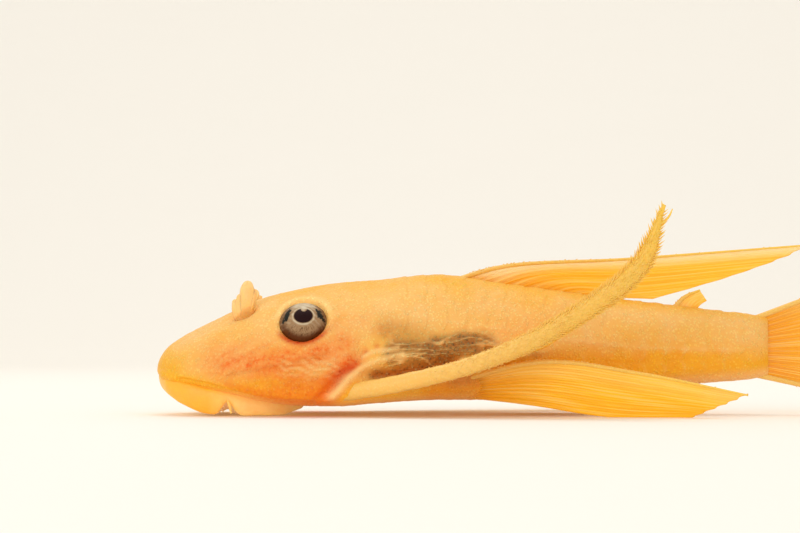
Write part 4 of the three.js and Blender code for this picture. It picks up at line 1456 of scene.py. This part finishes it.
class Bench:
    """Short ways to add and join the nodes of one tree."""

    # Where a Mix node keeps the sockets it uses for colours: factor, A and B
    BLEND_INPUTS = (0, 6, 7)
    BLEND_OUTPUT = 2

    def __init__(self, tree: bpy.types.NodeTree) -> None:
        """Starts on an emptied tree."""
        self.tree = tree
        tree.nodes.clear()

    def node(self, kind: str, setup: dict[str, object] | None = None, **inputs: object) -> bpy.types.Node:
        """Adds a node.

        Args:
            kind: its type.
            setup: its properties, set before its inputs.
            inputs: its inputs by name, with _ for a space, each a socket or a value.

        Returns:
            The node.
        """
        node = self.tree.nodes.new(kind)
        for name, value in (setup or {}).items():
            setattr(node, name, value)
        for name, value in inputs.items():
            self.feed(node.inputs[name.replace("_", " ")], value)
        return node

    def feed(self, socket: bpy.types.NodeSocket, value: object) -> None:
        """Joins a socket to another, or sets its own value.

        Args:
            socket: the socket to feed.
            value: another socket, or a value.
        """
        if isinstance(value, bpy.types.NodeSocket):
            self.tree.links.new(value, socket)
        else:
            socket.default_value = value

    def math(self, operation: str, a: object, b: object = 0.0) -> bpy.types.NodeSocket:
        """One sum of two values.

        Args:
            operation: which sum.
            a: the first value.
            b: the second value.

        Returns:
            The result.
        """
        node = self.node("ShaderNodeMath", {"operation": operation})
        self.feed(node.inputs[0], a)
        self.feed(node.inputs[1], b)
        return node.outputs[0]

    def span(self, value: object, low: float, high: float, to_low: float = 0.0,
             to_high: float = 1.0) -> bpy.types.NodeSocket:
        """Stretches a value from one range to another, held at the ends.

        Args:
            value: the value.
            low: where its range starts.
            high: where its range ends.
            to_low: what low becomes.
            to_high: what high becomes.

        Returns:
            The result.
        """
        node = self.node("ShaderNodeMapRange", Value=value, From_Min=low, From_Max=high, To_Min=to_low,
                         To_Max=to_high)
        return node.outputs["Result"]

    def blend(self, factor: object, a: object, b: object) -> bpy.types.NodeSocket:
        """Goes from colour a to colour b as factor goes from 0 to 1.

        Args:
            factor: how far it goes.
            a: the first colour.
            b: the second colour.

        Returns:
            The result.
        """
        node = self.node("ShaderNodeMix", {"data_type": "RGBA"})
        for socket, value in zip(self.BLEND_INPUTS, (factor, a, b)):
            self.feed(node.inputs[socket], value)
        return node.outputs[self.BLEND_OUTPUT]

    def times(self, first: object, *more: object) -> bpy.types.NodeSocket:
        """Multiplies values.

        Args:
            first: the first value.
            more: the others.

        Returns:
            The product.
        """
        for value in more:
            first = self.math("MULTIPLY", first, value)
        return first

    def layers(self, colour: object, *coats: tuple[object, Tone]) -> bpy.types.NodeSocket:
        """Lays colours over a first one, each as far as its mask goes.

        Args:
            colour: the first colour, as a socket or as the shader's numbers.
            coats: a mask and a colour for each layer, from the lowest up.

        Returns:
            The colour of them all.
        """
        for mask, tone in coats:
            colour = self.blend(mask, colour, linear(*tone))
        return colour

    def painted(self, name: str) -> bpy.types.NodeSocket:
        """A painted value of the mesh."""
        return self.node("ShaderNodeAttribute", {"attribute_name": name}).outputs["Fac"]

    def group(self, tree: bpy.types.NodeTree, **inputs: object) -> bpy.types.Node:
        """Places a shared effect, with this finish's own values."""
        return self.node("ShaderNodeGroup", {"node_tree": tree}, **inputs)


def effect(name: str, inputs: dict[str, float],
           outputs: Sequence[str]) -> tuple[Bench, bpy.types.Node, bpy.types.Node]:
    """Starts a shared effect.

    Args:
        name: the effect's name.
        inputs: its inputs, with their usual values.
        outputs: its outputs.

    Returns:
        The bench to build it on, its input node and its output node.
    """
    tree = bpy.data.node_groups.new(name, "ShaderNodeTree")
    bench = Bench(tree)
    for label, value in inputs.items():
        socket = tree.interface.new_socket(label, in_out="INPUT", socket_type="NodeSocketFloat")
        socket.default_value = value
    for label in outputs:
        tree.interface.new_socket(label, in_out="OUTPUT", socket_type="NodeSocketFloat")
    return bench, tree.nodes.new("NodeGroupInput"), tree.nodes.new("NodeGroupOutput")


class Effects:
    """The effects that more than one finish uses, each built once."""

    WARP = 0.16  # how far the dots are pushed out of their rows, in millimetres

    def __init__(self) -> None:
        """Builds the effects."""
        self.grain = self._grain()
        self.mottle = self._mottle()

    def _grain(self) -> bpy.types.NodeTree:
        """Close-set raised dots: Height for a bump, Dots as a mask, Jitter from dot to dot.

        Returns:
            The group.
        """
        bench, given, out = effect("raised_dots", {"Spacing": 0.2}, ("Height", "Dots", "Jitter"))
        place = bench.node("ShaderNodeTexCoord").outputs["Object"]
        scale = bench.math("DIVIDE", 1 / MM, given.outputs["Spacing"])
        warp = bench.node("ShaderNodeTexNoise", Vector=place, Scale=900.0, Detail=1.0)
        shift = bench.node("ShaderNodeVectorMath", {"operation": "MULTIPLY_ADD"})
        for socket, value in zip(shift.inputs, (warp.outputs["Color"], (self.WARP * MM,) * 3, place)):
            bench.feed(socket, value)
        cells = bench.node("ShaderNodeTexVoronoi", Vector=shift.outputs[0], Scale=scale)
        dots = bench.span(cells.outputs["Distance"], 0.5, 0.08)
        coarse = bench.node("ShaderNodeTexNoise", Vector=place, Scale=1400.0, Detail=2.0)
        height = bench.math("MULTIPLY", dots, bench.span(coarse.outputs["Fac"], 0.3, 0.7, 0.35, 1.0))
        split = bench.node("ShaderNodeSeparateColor", Color=cells.outputs["Color"])
        bench.feed(out.inputs["Height"], height)
        bench.feed(out.inputs["Dots"], dots)
        bench.feed(out.inputs["Jitter"], split.outputs[0])
        return bench.tree

    def _mottle(self) -> bpy.types.NodeTree:
        """Soft cloudy patches: Clouds large, Flecks small.

        Returns:
            The group.
        """
        bench, given, out = effect("mottling", {"Size": 3.0}, ("Clouds", "Flecks"))
        place = bench.node("ShaderNodeTexCoord").outputs["Object"]
        scale = bench.math("DIVIDE", 1 / MM, given.outputs["Size"])
        large = bench.node("ShaderNodeTexNoise", Vector=place, Scale=scale, Detail=3.0, Roughness=0.6)
        small = bench.node("ShaderNodeTexNoise", Vector=place, Scale=bench.math("MULTIPLY", scale, 5.0),
                           Detail=4.0, Roughness=0.65)
        bench.feed(out.inputs["Clouds"], bench.span(large.outputs["Fac"], 0.35, 0.65))
        bench.feed(out.inputs["Flecks"], bench.span(small.outputs["Fac"], 0.4, 0.7))
        return bench.tree


@dataclass(frozen=True)
class Gloss:
    """The wet surface of a finish: the numbers that are the same all over it."""

    rough: float = 0.42
    coat: float = 0.25
    coat_rough: float = 0.18
    soft: float = 0.0
    reach: float = 0.8
    bump: float = 0.3
    depth: float = 0.05
    specular: float = 0.45
    # How far red, green and blue light pass under the skin, against reach
    passes: Colour = (1.0, 0.42, 0.16)


def surface(name: str, gloss: Gloss) -> tuple[bpy.types.Material, Bench, bpy.types.Node]:
    """Starts a finish on a Principled shader.

    Args:
        name: the material's name.
        gloss: its wet surface. soft is how much light passes under the skin, over reach millimetres.

    Returns:
        The material, the bench that holds its nodes, and its Principled node.
    """
    material = bpy.data.materials.new(name)
    material.use_nodes = True
    bench = Bench(material.node_tree)
    shader = bench.node("ShaderNodeBsdfPrincipled")
    shader.inputs["Roughness"].default_value = gloss.rough
    shader.inputs["Coat Weight"].default_value = gloss.coat
    shader.inputs["Coat Roughness"].default_value = gloss.coat_rough
    shader.inputs["Subsurface Weight"].default_value = gloss.soft
    shader.inputs["Subsurface Radius"].default_value = gloss.passes
    shader.inputs["Subsurface Scale"].default_value = gloss.reach * MM
    shader.inputs["Specular IOR Level"].default_value = gloss.specular
    out = bench.node("ShaderNodeOutputMaterial", Surface=shader.outputs["BSDF"])
    out.is_active_output = True
    return material, bench, shader


def raise_bump(bench: Bench, shader: bpy.types.Node, height: object, gloss: Gloss) -> None:
    """Feeds a height to a finish's bump.

    Args:
        bench: the finish's nodes.
        shader: its Principled node.
        height: the height.
        gloss: how strong and how deep it is.
    """
    bump = bench.node("ShaderNodeBump", Height=height)
    bump.inputs["Strength"].default_value = gloss.bump
    bump.inputs["Distance"].default_value = gloss.depth * MM
    bench.feed(shader.inputs["Normal"], bump.outputs["Normal"])


def paint_glow(bench: Bench, shader: bpy.types.Node, colour: object, strength: float) -> None:
    """Adds a painted glow, emission that stands in for the light that comes through thin flesh: its colour,
    and how strong it is.
    """
    bench.feed(shader.inputs["Emission Color"], colour)
    shader.inputs["Emission Strength"].default_value = strength


@dataclass(frozen=True)
class SkinFinish:
    """Peach and gold hide with fine raised dots and orange blushes, and painted shade under the eye and in a
    crinkled patch behind the pectoral fin.
    """

    peach: Tone = (249, 205, 122)
    gold: Tone = (249, 189, 36)
    orange: Tone = (240, 102, 14)
    rust: Tone = (232, 108, 0)
    deep: Tone = (210, 68, 0)
    cleft_shade: Tone = (92, 66, 34)
    cream: Tone = (254, 216, 140)
    brown: Tone = (150, 76, 0)
    # Painted shade in the gap under the eye
    under_eye_shade: Tone = (202, 52, 0)
    belly: Tone = (252, 200, 120)
    # Painted shade in the gaps between the raised dots
    dot_gap_shade: Tone = (226, 130, 44)
    glow: float = 0.16
    gloss: Gloss = Gloss(rough=0.42, coat=0.07, coat_rough=0.22, soft=0.06, reach=0.6, bump=1.0,
                         depth=0.085, specular=0.16)

    def make(self, effects: Effects) -> bpy.types.Material:
        """Builds the material.

        Args:
            effects: the shared effects.

        Returns:
            The material.
        """
        material, bench, shader = surface("golden_hide", self.gloss)
        grain = bench.group(effects.grain, Spacing=0.3)
        dots, jitter = grain.outputs["Dots"], grain.outputs["Jitter"]
        mottle = bench.group(effects.mottle, Size=2.0)
        clouds, flecks = mottle.outputs["Clouds"], mottle.outputs["Flecks"]

        def flecked(name: str, low: float, high: float) -> bpy.types.NodeSocket:
            """A painted value, held between low and high of its strength by the flecks."""
            return bench.times(bench.painted(name), bench.span(flecks, 0, 1, low, high))

        # The last two layers are painted shade: brown in the hollow, pits and folds, and dark in the cleft
        # behind the pectoral fin
        colour = bench.layers(
            linear(*self.peach),
            (bench.math("ADD", bench.painted("amber"), bench.times(clouds, 0.24)), self.gold),
            (bench.painted("belly"), self.belly),
            (flecked("blush", 0.6, 1.15), self.orange),
            (flecked("deep", 0.88, 1.0), self.deep),
            (flecked("rust", 0.6, 1.0), self.rust),
            (bench.painted("shade"), self.brown),
            (flecked("cleft_shade", 0.85, 1.1), self.cleft_shade),
        )
        # Pale wrinkle lines, where the painted wobble changes its sign
        lines = bench.times(bench.span(bench.math("ABSOLUTE", bench.painted("lined")), 0.3, 0.04),
                            bench.painted("wrinkled"))
        # The raised dots: their own paler tone, with a painted highlight on their tops and painted shade in
        # the gaps between them
        plain = bench.span(bench.painted("deep"), 0.0, 0.7, 1.0, 0.15)
        dot_highlights = bench.times(dots, bench.span(jitter, 0.2, 1, 0.0, 0.38), plain,
                             bench.span(bench.painted("armour"), 0.2, 0.8, 0.4, 1.0))
        # The second layer here is painted shade in the gap under the eye
        colour = bench.layers(
            colour,
            (bench.math("ADD", bench.painted("cream"), bench.times(lines, 0.55)), self.cream),
            (bench.painted("under_eye_shade"), self.under_eye_shade),
            (bench.times(bench.span(dots, 0.55, 0.05, 0.0, 0.3), plain), self.dot_gap_shade),
            (dot_highlights, self.cream),
        )
        bench.feed(shader.inputs["Base Color"], colour)
        bench.feed(shader.inputs["Roughness"], bench.span(dots, 0, 1, 0.48, 0.36))
        # Painted glow: emission that brightens the shaded lower edge and the shaded crease over the eye, for
        # light from the pale floor that comes through the thin flesh
        paint_glow(bench, shader, bench.blend(bench.painted("lit"), linear(0, 0, 0), colour), self.glow)
        height = bench.math("ADD", grain.outputs["Height"], bench.times(flecks, 0.15))
        raise_bump(bench, shader, bench.math("ADD", height, bench.times(lines, 1.4)), self.gloss)
        return material


@dataclass(frozen=True)
class FinFinish:
    """Clear yellow fin skin between brighter rays, thinner and clearer towards the edge."""

    name: str = "yellow_fin"
    web: Tone = (251, 190, 8)
    ray: Tone = (246, 172, 4)
    tip: Tone = (252, 194, 24)
    root: Tone = (222, 138, 18)
    dark: Tone = (238, 156, 0)
    light: Tone = (254, 222, 130)
    glow: float = 0.12
    clear_root: float = 0.97
    clear_tip: float = 0.93
    gloss: Gloss = Gloss(rough=0.4, coat=0.12, coat_rough=0.15, soft=0.12, reach=1.0, bump=0.35, depth=0.04)

    def make(self, effects: Effects) -> bpy.types.Material:
        """Builds the material.

        Args:
            effects: the shared effects.

        Returns:
            The material.
        """
        material, bench, shader = surface(self.name, self.gloss)
        grain = bench.group(effects.grain, Spacing=0.14)
        mottle = bench.group(effects.mottle, Size=2.0)
        ray, reach = bench.painted("ray"), bench.painted("reach")
        streak, pale = bench.painted("streak"), bench.painted("pale")
        colour = bench.layers(
            linear(*self.root),
            (bench.span(reach, 0.08, 0.42), self.web),
            (bench.span(reach, 0.5, 1.0), self.tip),
            (bench.span(ray, 0.1, 0.9, 0, 0.9), self.ray),
            (bench.times(mottle.outputs["Clouds"], 0.15), self.dark),
            (bench.span(streak, 0.5, 1.0, 0.0, 0.5), self.dark),
            (bench.span(streak, 0.5, 0.0, 0.0, 0.42), self.light),
            (bench.times(pale, 0.75), self.light),
        )
        bench.feed(shader.inputs["Base Color"], colour)
        # Painted glow: emission in the fin's own colour, for light that shines through the thin fin
        paint_glow(bench, shader, colour, self.glow)
        thin = bench.span(reach, 0.15, 1.0, self.clear_root, self.clear_tip)
        thin = bench.math("MAXIMUM", thin, bench.span(ray, 0.2, 0.9, 0.3, 0.97))
        thin = bench.times(thin, bench.span(pale, 0.0, 1.0, 1.0, 0.62), bench.painted("full"))
        bench.feed(shader.inputs["Alpha"], thin)
        height = bench.math("ADD", ray, bench.times(grain.outputs["Height"], 0.4))
        raise_bump(bench, shader, height, self.gloss)
        return material


@dataclass(frozen=True)
class SpineFinish:
    """Pale yellow bone of the fin spines, under its small studs."""

    bone: Tone = (242, 190, 92)
    tip: Tone = (246, 198, 68)
    warm: Tone = (250, 188, 84)
    crest: Tone = (254, 218, 140)
    gloss: Gloss = Gloss(rough=0.42, coat=0.08, soft=0.15, reach=0.8, bump=0.5, depth=0.05)

    def make(self, effects: Effects) -> bpy.types.Material:
        """Builds the material.

        Args:
            effects: the shared effects.

        Returns:
            The material.
        """
        material, bench, shader = surface("fin_spine", self.gloss)
        grain = bench.group(effects.grain, Spacing=0.24)
        mottle = bench.group(effects.mottle, Size=1.6)
        colour = bench.layers(
            linear(*self.bone),
            (bench.span(bench.painted("reach"), 0.35, 0.95), self.tip),
            (bench.times(mottle.outputs["Clouds"], 0.25), self.warm),
            (bench.times(grain.outputs["Dots"], 0.35), self.crest),
        )
        bench.feed(shader.inputs["Base Color"], colour)
        raise_bump(bench, shader, grain.outputs["Height"], self.gloss)
        return material


@dataclass(frozen=True)
class LipFinish:
    """Soft moist lip, amber in front and paler behind."""

    amber: Tone = (247, 176, 40)
    pale: Tone = (253, 210, 124)
    pad: Tone = (255, 222, 172)
    warm: Tone = (244, 160, 56)
    # Distances from the snout over which the lips turn pale
    pales: tuple[float, float] = (5.5, 8.5)
    glow: float = 0.16
    gloss: Gloss = Gloss(rough=0.4, coat=0.12, coat_rough=0.18, soft=0.3, reach=1.2, bump=0.3, depth=0.05)

    def make(self, effects: Effects) -> bpy.types.Material:
        """Builds the material.

        Args:
            effects: the shared effects.

        Returns:
            The material.
        """
        material, bench, shader = surface("soft_lip", self.gloss)
        mottle = bench.group(effects.mottle, Size=1.4)
        place = bench.node("ShaderNodeTexCoord").outputs["Object"]
        x = bench.node("ShaderNodeSeparateXYZ", Vector=place).outputs["X"]
        colour = bench.layers(
            linear(*self.amber),
            (bench.span(x, *(PLACE.snout_x + distance * MM for distance in self.pales)), self.pale),
            (bench.span(bench.painted("rim"), 1.0, 0.8), self.pad),
            (bench.times(mottle.outputs["Clouds"], 0.3), self.warm),
        )
        bench.feed(shader.inputs["Base Color"], colour)
        # Painted glow: emission in the lip's own colour, for light that shines through the soft lip
        paint_glow(bench, shader, colour, self.glow)
        raise_bump(bench, shader, mottle.outputs["Flecks"], self.gloss)
        return material


@dataclass(frozen=True)
class FlapFinish:
    """Thin milky skin of the nostril flaps."""

    milk: Tone = (247, 184, 92)
    edge: Tone = (251, 208, 138)
    warm: Tone = (246, 182, 84)
    glow: float = 0.13
    gloss: Gloss = Gloss(rough=0.4, coat=0.12, soft=0.3, reach=1.0, bump=0.5, depth=0.06)

    def make(self, effects: Effects) -> bpy.types.Material:
        """Builds the material.

        Args:
            effects: the shared effects.

        Returns:
            The material.
        """
        material, bench, shader = surface("nostril_skin", self.gloss)
        mottle = bench.group(effects.mottle, Size=0.9)
        reach = bench.painted("reach")
        colour = bench.layers(linear(*self.milk), (reach, self.edge),
                              (bench.times(mottle.outputs["Clouds"], 0.35), self.warm))
        bench.feed(shader.inputs["Base Color"], colour)
        # Painted glow: emission in the flap's own colour, for light that shines through the thin flap
        paint_glow(bench, shader, colour, self.glow)
        thin = bench.span(reach, 0.4, 1.0, 1.0, 0.86)
        grown = bench.span(reach, 0.16, 0.36, 0.3, 1.0)
        bench.feed(shader.inputs["Alpha"], bench.times(thin, grown))
        raise_bump(bench, shader, mottle.outputs["Flecks"], self.gloss)
        return material


@dataclass(frozen=True)
class EyeFinish:
    """A silvery grey iris flecked with black, a dark pupil and a clear wet front."""

    iris: Tone = (166, 132, 95)
    silver: Tone = (210, 194, 164)
    speck: Tone = (22, 24, 18)
    streak: Tone = (92, 54, 24)
    outer: Tone = (92, 46, 10)
    pupil: Tone = (30, 0, 0)
    gloss: Gloss = Gloss(rough=0.5, coat=0.07, coat_rough=0.03, bump=0.25, depth=0.03, specular=0.1)

    def make(self, effects: Effects) -> bpy.types.Material:
        """Builds the material.

        Args:
            effects: the shared effects.

        Returns:
            The material.
        """
        material, bench, shader = surface("eye", self.gloss)
        mottle = bench.group(effects.mottle, Size=0.35)
        flecks = mottle.outputs["Flecks"]
        colour = bench.layers(
            linear(*self.iris),
            (bench.times(flecks, 0.4), self.streak),
            (bench.painted("streaks"), self.streak),
            (bench.painted("outer"), self.outer),
            (bench.painted("silver"), self.silver),
            (bench.painted("specks"), self.speck),
            (bench.painted("pupil"), self.pupil),
        )
        bench.feed(shader.inputs["Base Color"], colour)
        raise_bump(bench, shader, flecks, self.gloss)
        return material


@dataclass(frozen=True)
class ToothFinish:
    """Amber tips of the fine comb teeth."""

    amber: Tone = (226, 150, 60)
    pale: Tone = (248, 214, 160)
    gloss: Gloss = Gloss(rough=0.3, coat=0.2)

    def make(self, effects: Effects) -> bpy.types.Material:
        """Builds the material.

        Args:
            effects: the shared effects.

        Returns:
            The material.
        """
        material, bench, shader = surface("comb_teeth", self.gloss)
        mottle = bench.group(effects.mottle, Size=0.5)
        colour = bench.layers(linear(*self.amber), (mottle.outputs["Clouds"], self.pale))
        bench.feed(shader.inputs["Base Color"], colour)
        return material


# The studio

@dataclass(frozen=True)
class Lamp:
    """A soft square light that faces a point. It leaves no highlight if shines is False."""

    name: str
    at: Point
    size: float
    power: float
    colour: Colour
    shines: bool = True
    aim: Point = (0.0, 0.0, 0.006)

    def hang(self) -> None:
        """Adds the light to the scene."""
        data = bpy.data.lights.new(self.name, "AREA")
        data.size = self.size
        data.energy = self.power
        data.color = self.colour
        lamp = bpy.data.objects.new(self.name, data)
        lamp.location = self.at
        lamp.visible_glossy = self.shines
        lamp.rotation_euler = (Vector(self.aim) - Vector(self.at)).to_track_quat("-Z", "Y").to_euler()
        bpy.context.scene.collection.objects.link(lamp)


@dataclass
class Studio:
    """A pale floor that sweeps up behind, soft lights, and the camera low beside the fish."""

    camera_at: Point = (24.2, -222.0, 7.6)
    tilt_up: float = 1.845
    lens: float = 99.9
    sensor: float = 36.0
    nearest: float = 0.01  # metres from the camera at which the picture starts
    paper: Tone = (250, 246, 238)
    paper_fleck: Tone = (255, 252, 246)
    # The floor in metres: its front edge, where it bends up, the bend, its top and its half width
    front: float = -1.2
    back: float = 0.35
    bend: float = 0.35
    rise: float = 0.9
    half_width: float = 1.6
    sky_colour: Colour = (1.0, 0.98, 0.945)
    sky_strength: float = 0.84
    lamps: Sequence[Lamp] = (
        Lamp("top_light", (-0.06, 0.12, 0.4), 0.22, 0.36, (1.0, 0.99, 0.97)),
        Lamp("front_light", (-0.32, -0.42, 0.2), 0.25, 0.42, (1.0, 0.98, 0.95)),
        Lamp("low_light", (0.06, -0.4, 0.035), 0.25, 0.2, (1.0, 0.97, 0.92), False),
        Lamp("wall_light", (0.0, 0.3, 0.75), 0.3, 0.4, (1.0, 0.98, 0.95), False, (0.0, 0.7, 0.2)),
    )

    def floor(self) -> None:
        """Makes the floor and its sweep, which aren't part of the object."""
        material, bench, shader = surface("studio_paper", Gloss(rough=0.7, coat=0.0))
        grain = bench.node("ShaderNodeTexNoise", Scale=60.0, Detail=2.0)
        flecks = bench.times(grain.outputs["Fac"], 0.15)
        colour = bench.layers(linear(*self.paper), (flecks, self.paper_fleck))
        bench.feed(shader.inputs["Base Color"], colour)
        arc = [(self.back + self.bend * math.sin(a), self.bend * (1 - math.cos(a)))
               for a in np.linspace(0, math.pi / 2, 24)]
        profile = [(self.front, 0.0), *arc, (self.back + self.bend, self.rise)]
        points = [(x, y, z) for y, z in profile for x in (-self.half_width, self.half_width)]
        faces = [(2 * i, 2 * i + 1, 2 * i + 3, 2 * i + 2) for i in range(len(profile) - 1)]
        mesh = bpy.data.meshes.new("studio_floor")
        mesh.from_pydata(points, [], faces)
        mesh.materials.append(material)
        mesh.polygons.foreach_set("use_smooth", [True] * len(faces))
        floor = bpy.data.objects.new("studio_floor", mesh)
        bpy.context.scene.collection.objects.link(floor)

    def camera(self) -> None:
        """Sets the camera as the picture was taken."""
        data = bpy.data.cameras.new("camera")
        data.lens = self.lens
        data.sensor_width = self.sensor
        data.clip_start = self.nearest
        camera = bpy.data.objects.new("camera", data)
        camera.location = PLACE.metres(np.array(self.camera_at))
        camera.rotation_euler = (math.radians(90 + self.tilt_up), 0, 0)
        bpy.context.scene.collection.objects.link(camera)
        bpy.context.scene.camera = camera

    def build(self) -> None:
        """Sets up the whole studio."""
        world = bpy.data.worlds.new("studio")
        bpy.context.scene.world = world
        world.use_nodes = True
        sky = next(n for n in world.node_tree.nodes if n.type == "BACKGROUND")
        sky.inputs["Color"].default_value = (*self.sky_colour, 1)
        sky.inputs["Strength"].default_value = self.sky_strength
        bpy.context.scene.view_settings.view_transform = "Standard"
        self.floor()
        for lamp in self.lamps:
            lamp.hang()
        self.camera()


class Slot(Enum):
    """The record's material slots."""

    SKIN = "skin"
    FINS = "fins"
    LIPS = "lips"
    EYES = "eyes"


def place_piece(piece: bpy.types.Object, slot: Slot, *nodes: str) -> None:
    """Says what a finished piece rides on and stands for.

    Args:
        piece: the piece.
        slot: not used.
        nodes: the solids that it stands for.
    """
    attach(piece, "root")
    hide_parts(*nodes)
    LOG.info("%s: %d faces, for %s", piece.name, len(piece.data.polygons), ", ".join(nodes))


def main() -> None:
    """Builds the studio and the fish."""
    logging.basicConfig(level=logging.INFO, format="%(name)s %(message)s")
    Studio().build()
    effects = Effects()
    hide = SkinFinish().make(effects)
    yellow = FinFinish().make(effects)
    bone = SpineFinish().make(effects)
    place_piece(Skin().build(hide), Slot.SKIN, "head", "torso", "tail_stem")
    iris = EyeFinish().make(effects)
    flap = FlapFinish().make(effects)
    papillae = StudTree("papillae", spacing=0.34, length=0.16, radius=0.12, lean=0.0, seed=4, sides=6)
    lips = Lips().build(LipFinish().make(effects), ToothFinish().make(effects), papillae)
    place_piece(lips, Slot.LIPS, "lips")
    single = {
        "dorsal_fin": Fin("dorsal_dressed", dorsal_rays(), FinWeave(between=18), 2, (0,), pale=1.0),
        "adipose_fin": Fin("adipose_dressed", adipose_rays(), FinWeave(steps=40, ridge=0.4, web=0.3), 3,
                           (0,), 0.34),
        "tail_fin": Fin("tail_dressed", tail_rays(), FinWeave(between=16), 4, (0, 13)),
        "anal_fin": Fin("anal_dressed", anal_rays(), FinWeave(steps=60, between=16), 5, (0,), 0.24),
    }
    small = StudTree("ray_studs", spacing=0.24, length=0.5, radius=0.07, lean=2.0, seed=6)
    for node, fin in single.items():
        place_piece(fin.build(yellow, bone, small), Slot.FINS, node)
    for side in Side:
        place_piece(Eye(side).build(iris), Slot.EYES, f"eye_{side.label}")
        place_piece(NostrilFlap(side).build(flap), Slot.LIPS, f"nostril_flap_{side.label}")
        studs = StudTree(f"spine_studs_{side.label}", spacing=0.21, length=0.6, radius=0.095, lean=1.3,
                         seed=9)
        place_piece(Pectoral(side).build(yellow, bone, studs), Slot.FINS, f"pectoral_fin_{side.label}")
        pelvic = Fin(f"pelvic_{side.label}_dressed", pelvic_rays(side), FinWeave(between=20, ridge=0.4),
                     6 + side.value, (0,), 0.32, grows=(0.09, 0.2))
        place_piece(pelvic.build(yellow, bone, small), Slot.FINS, f"pelvic_fin_{side.label}")


if __name__ == "__main__":
    main()
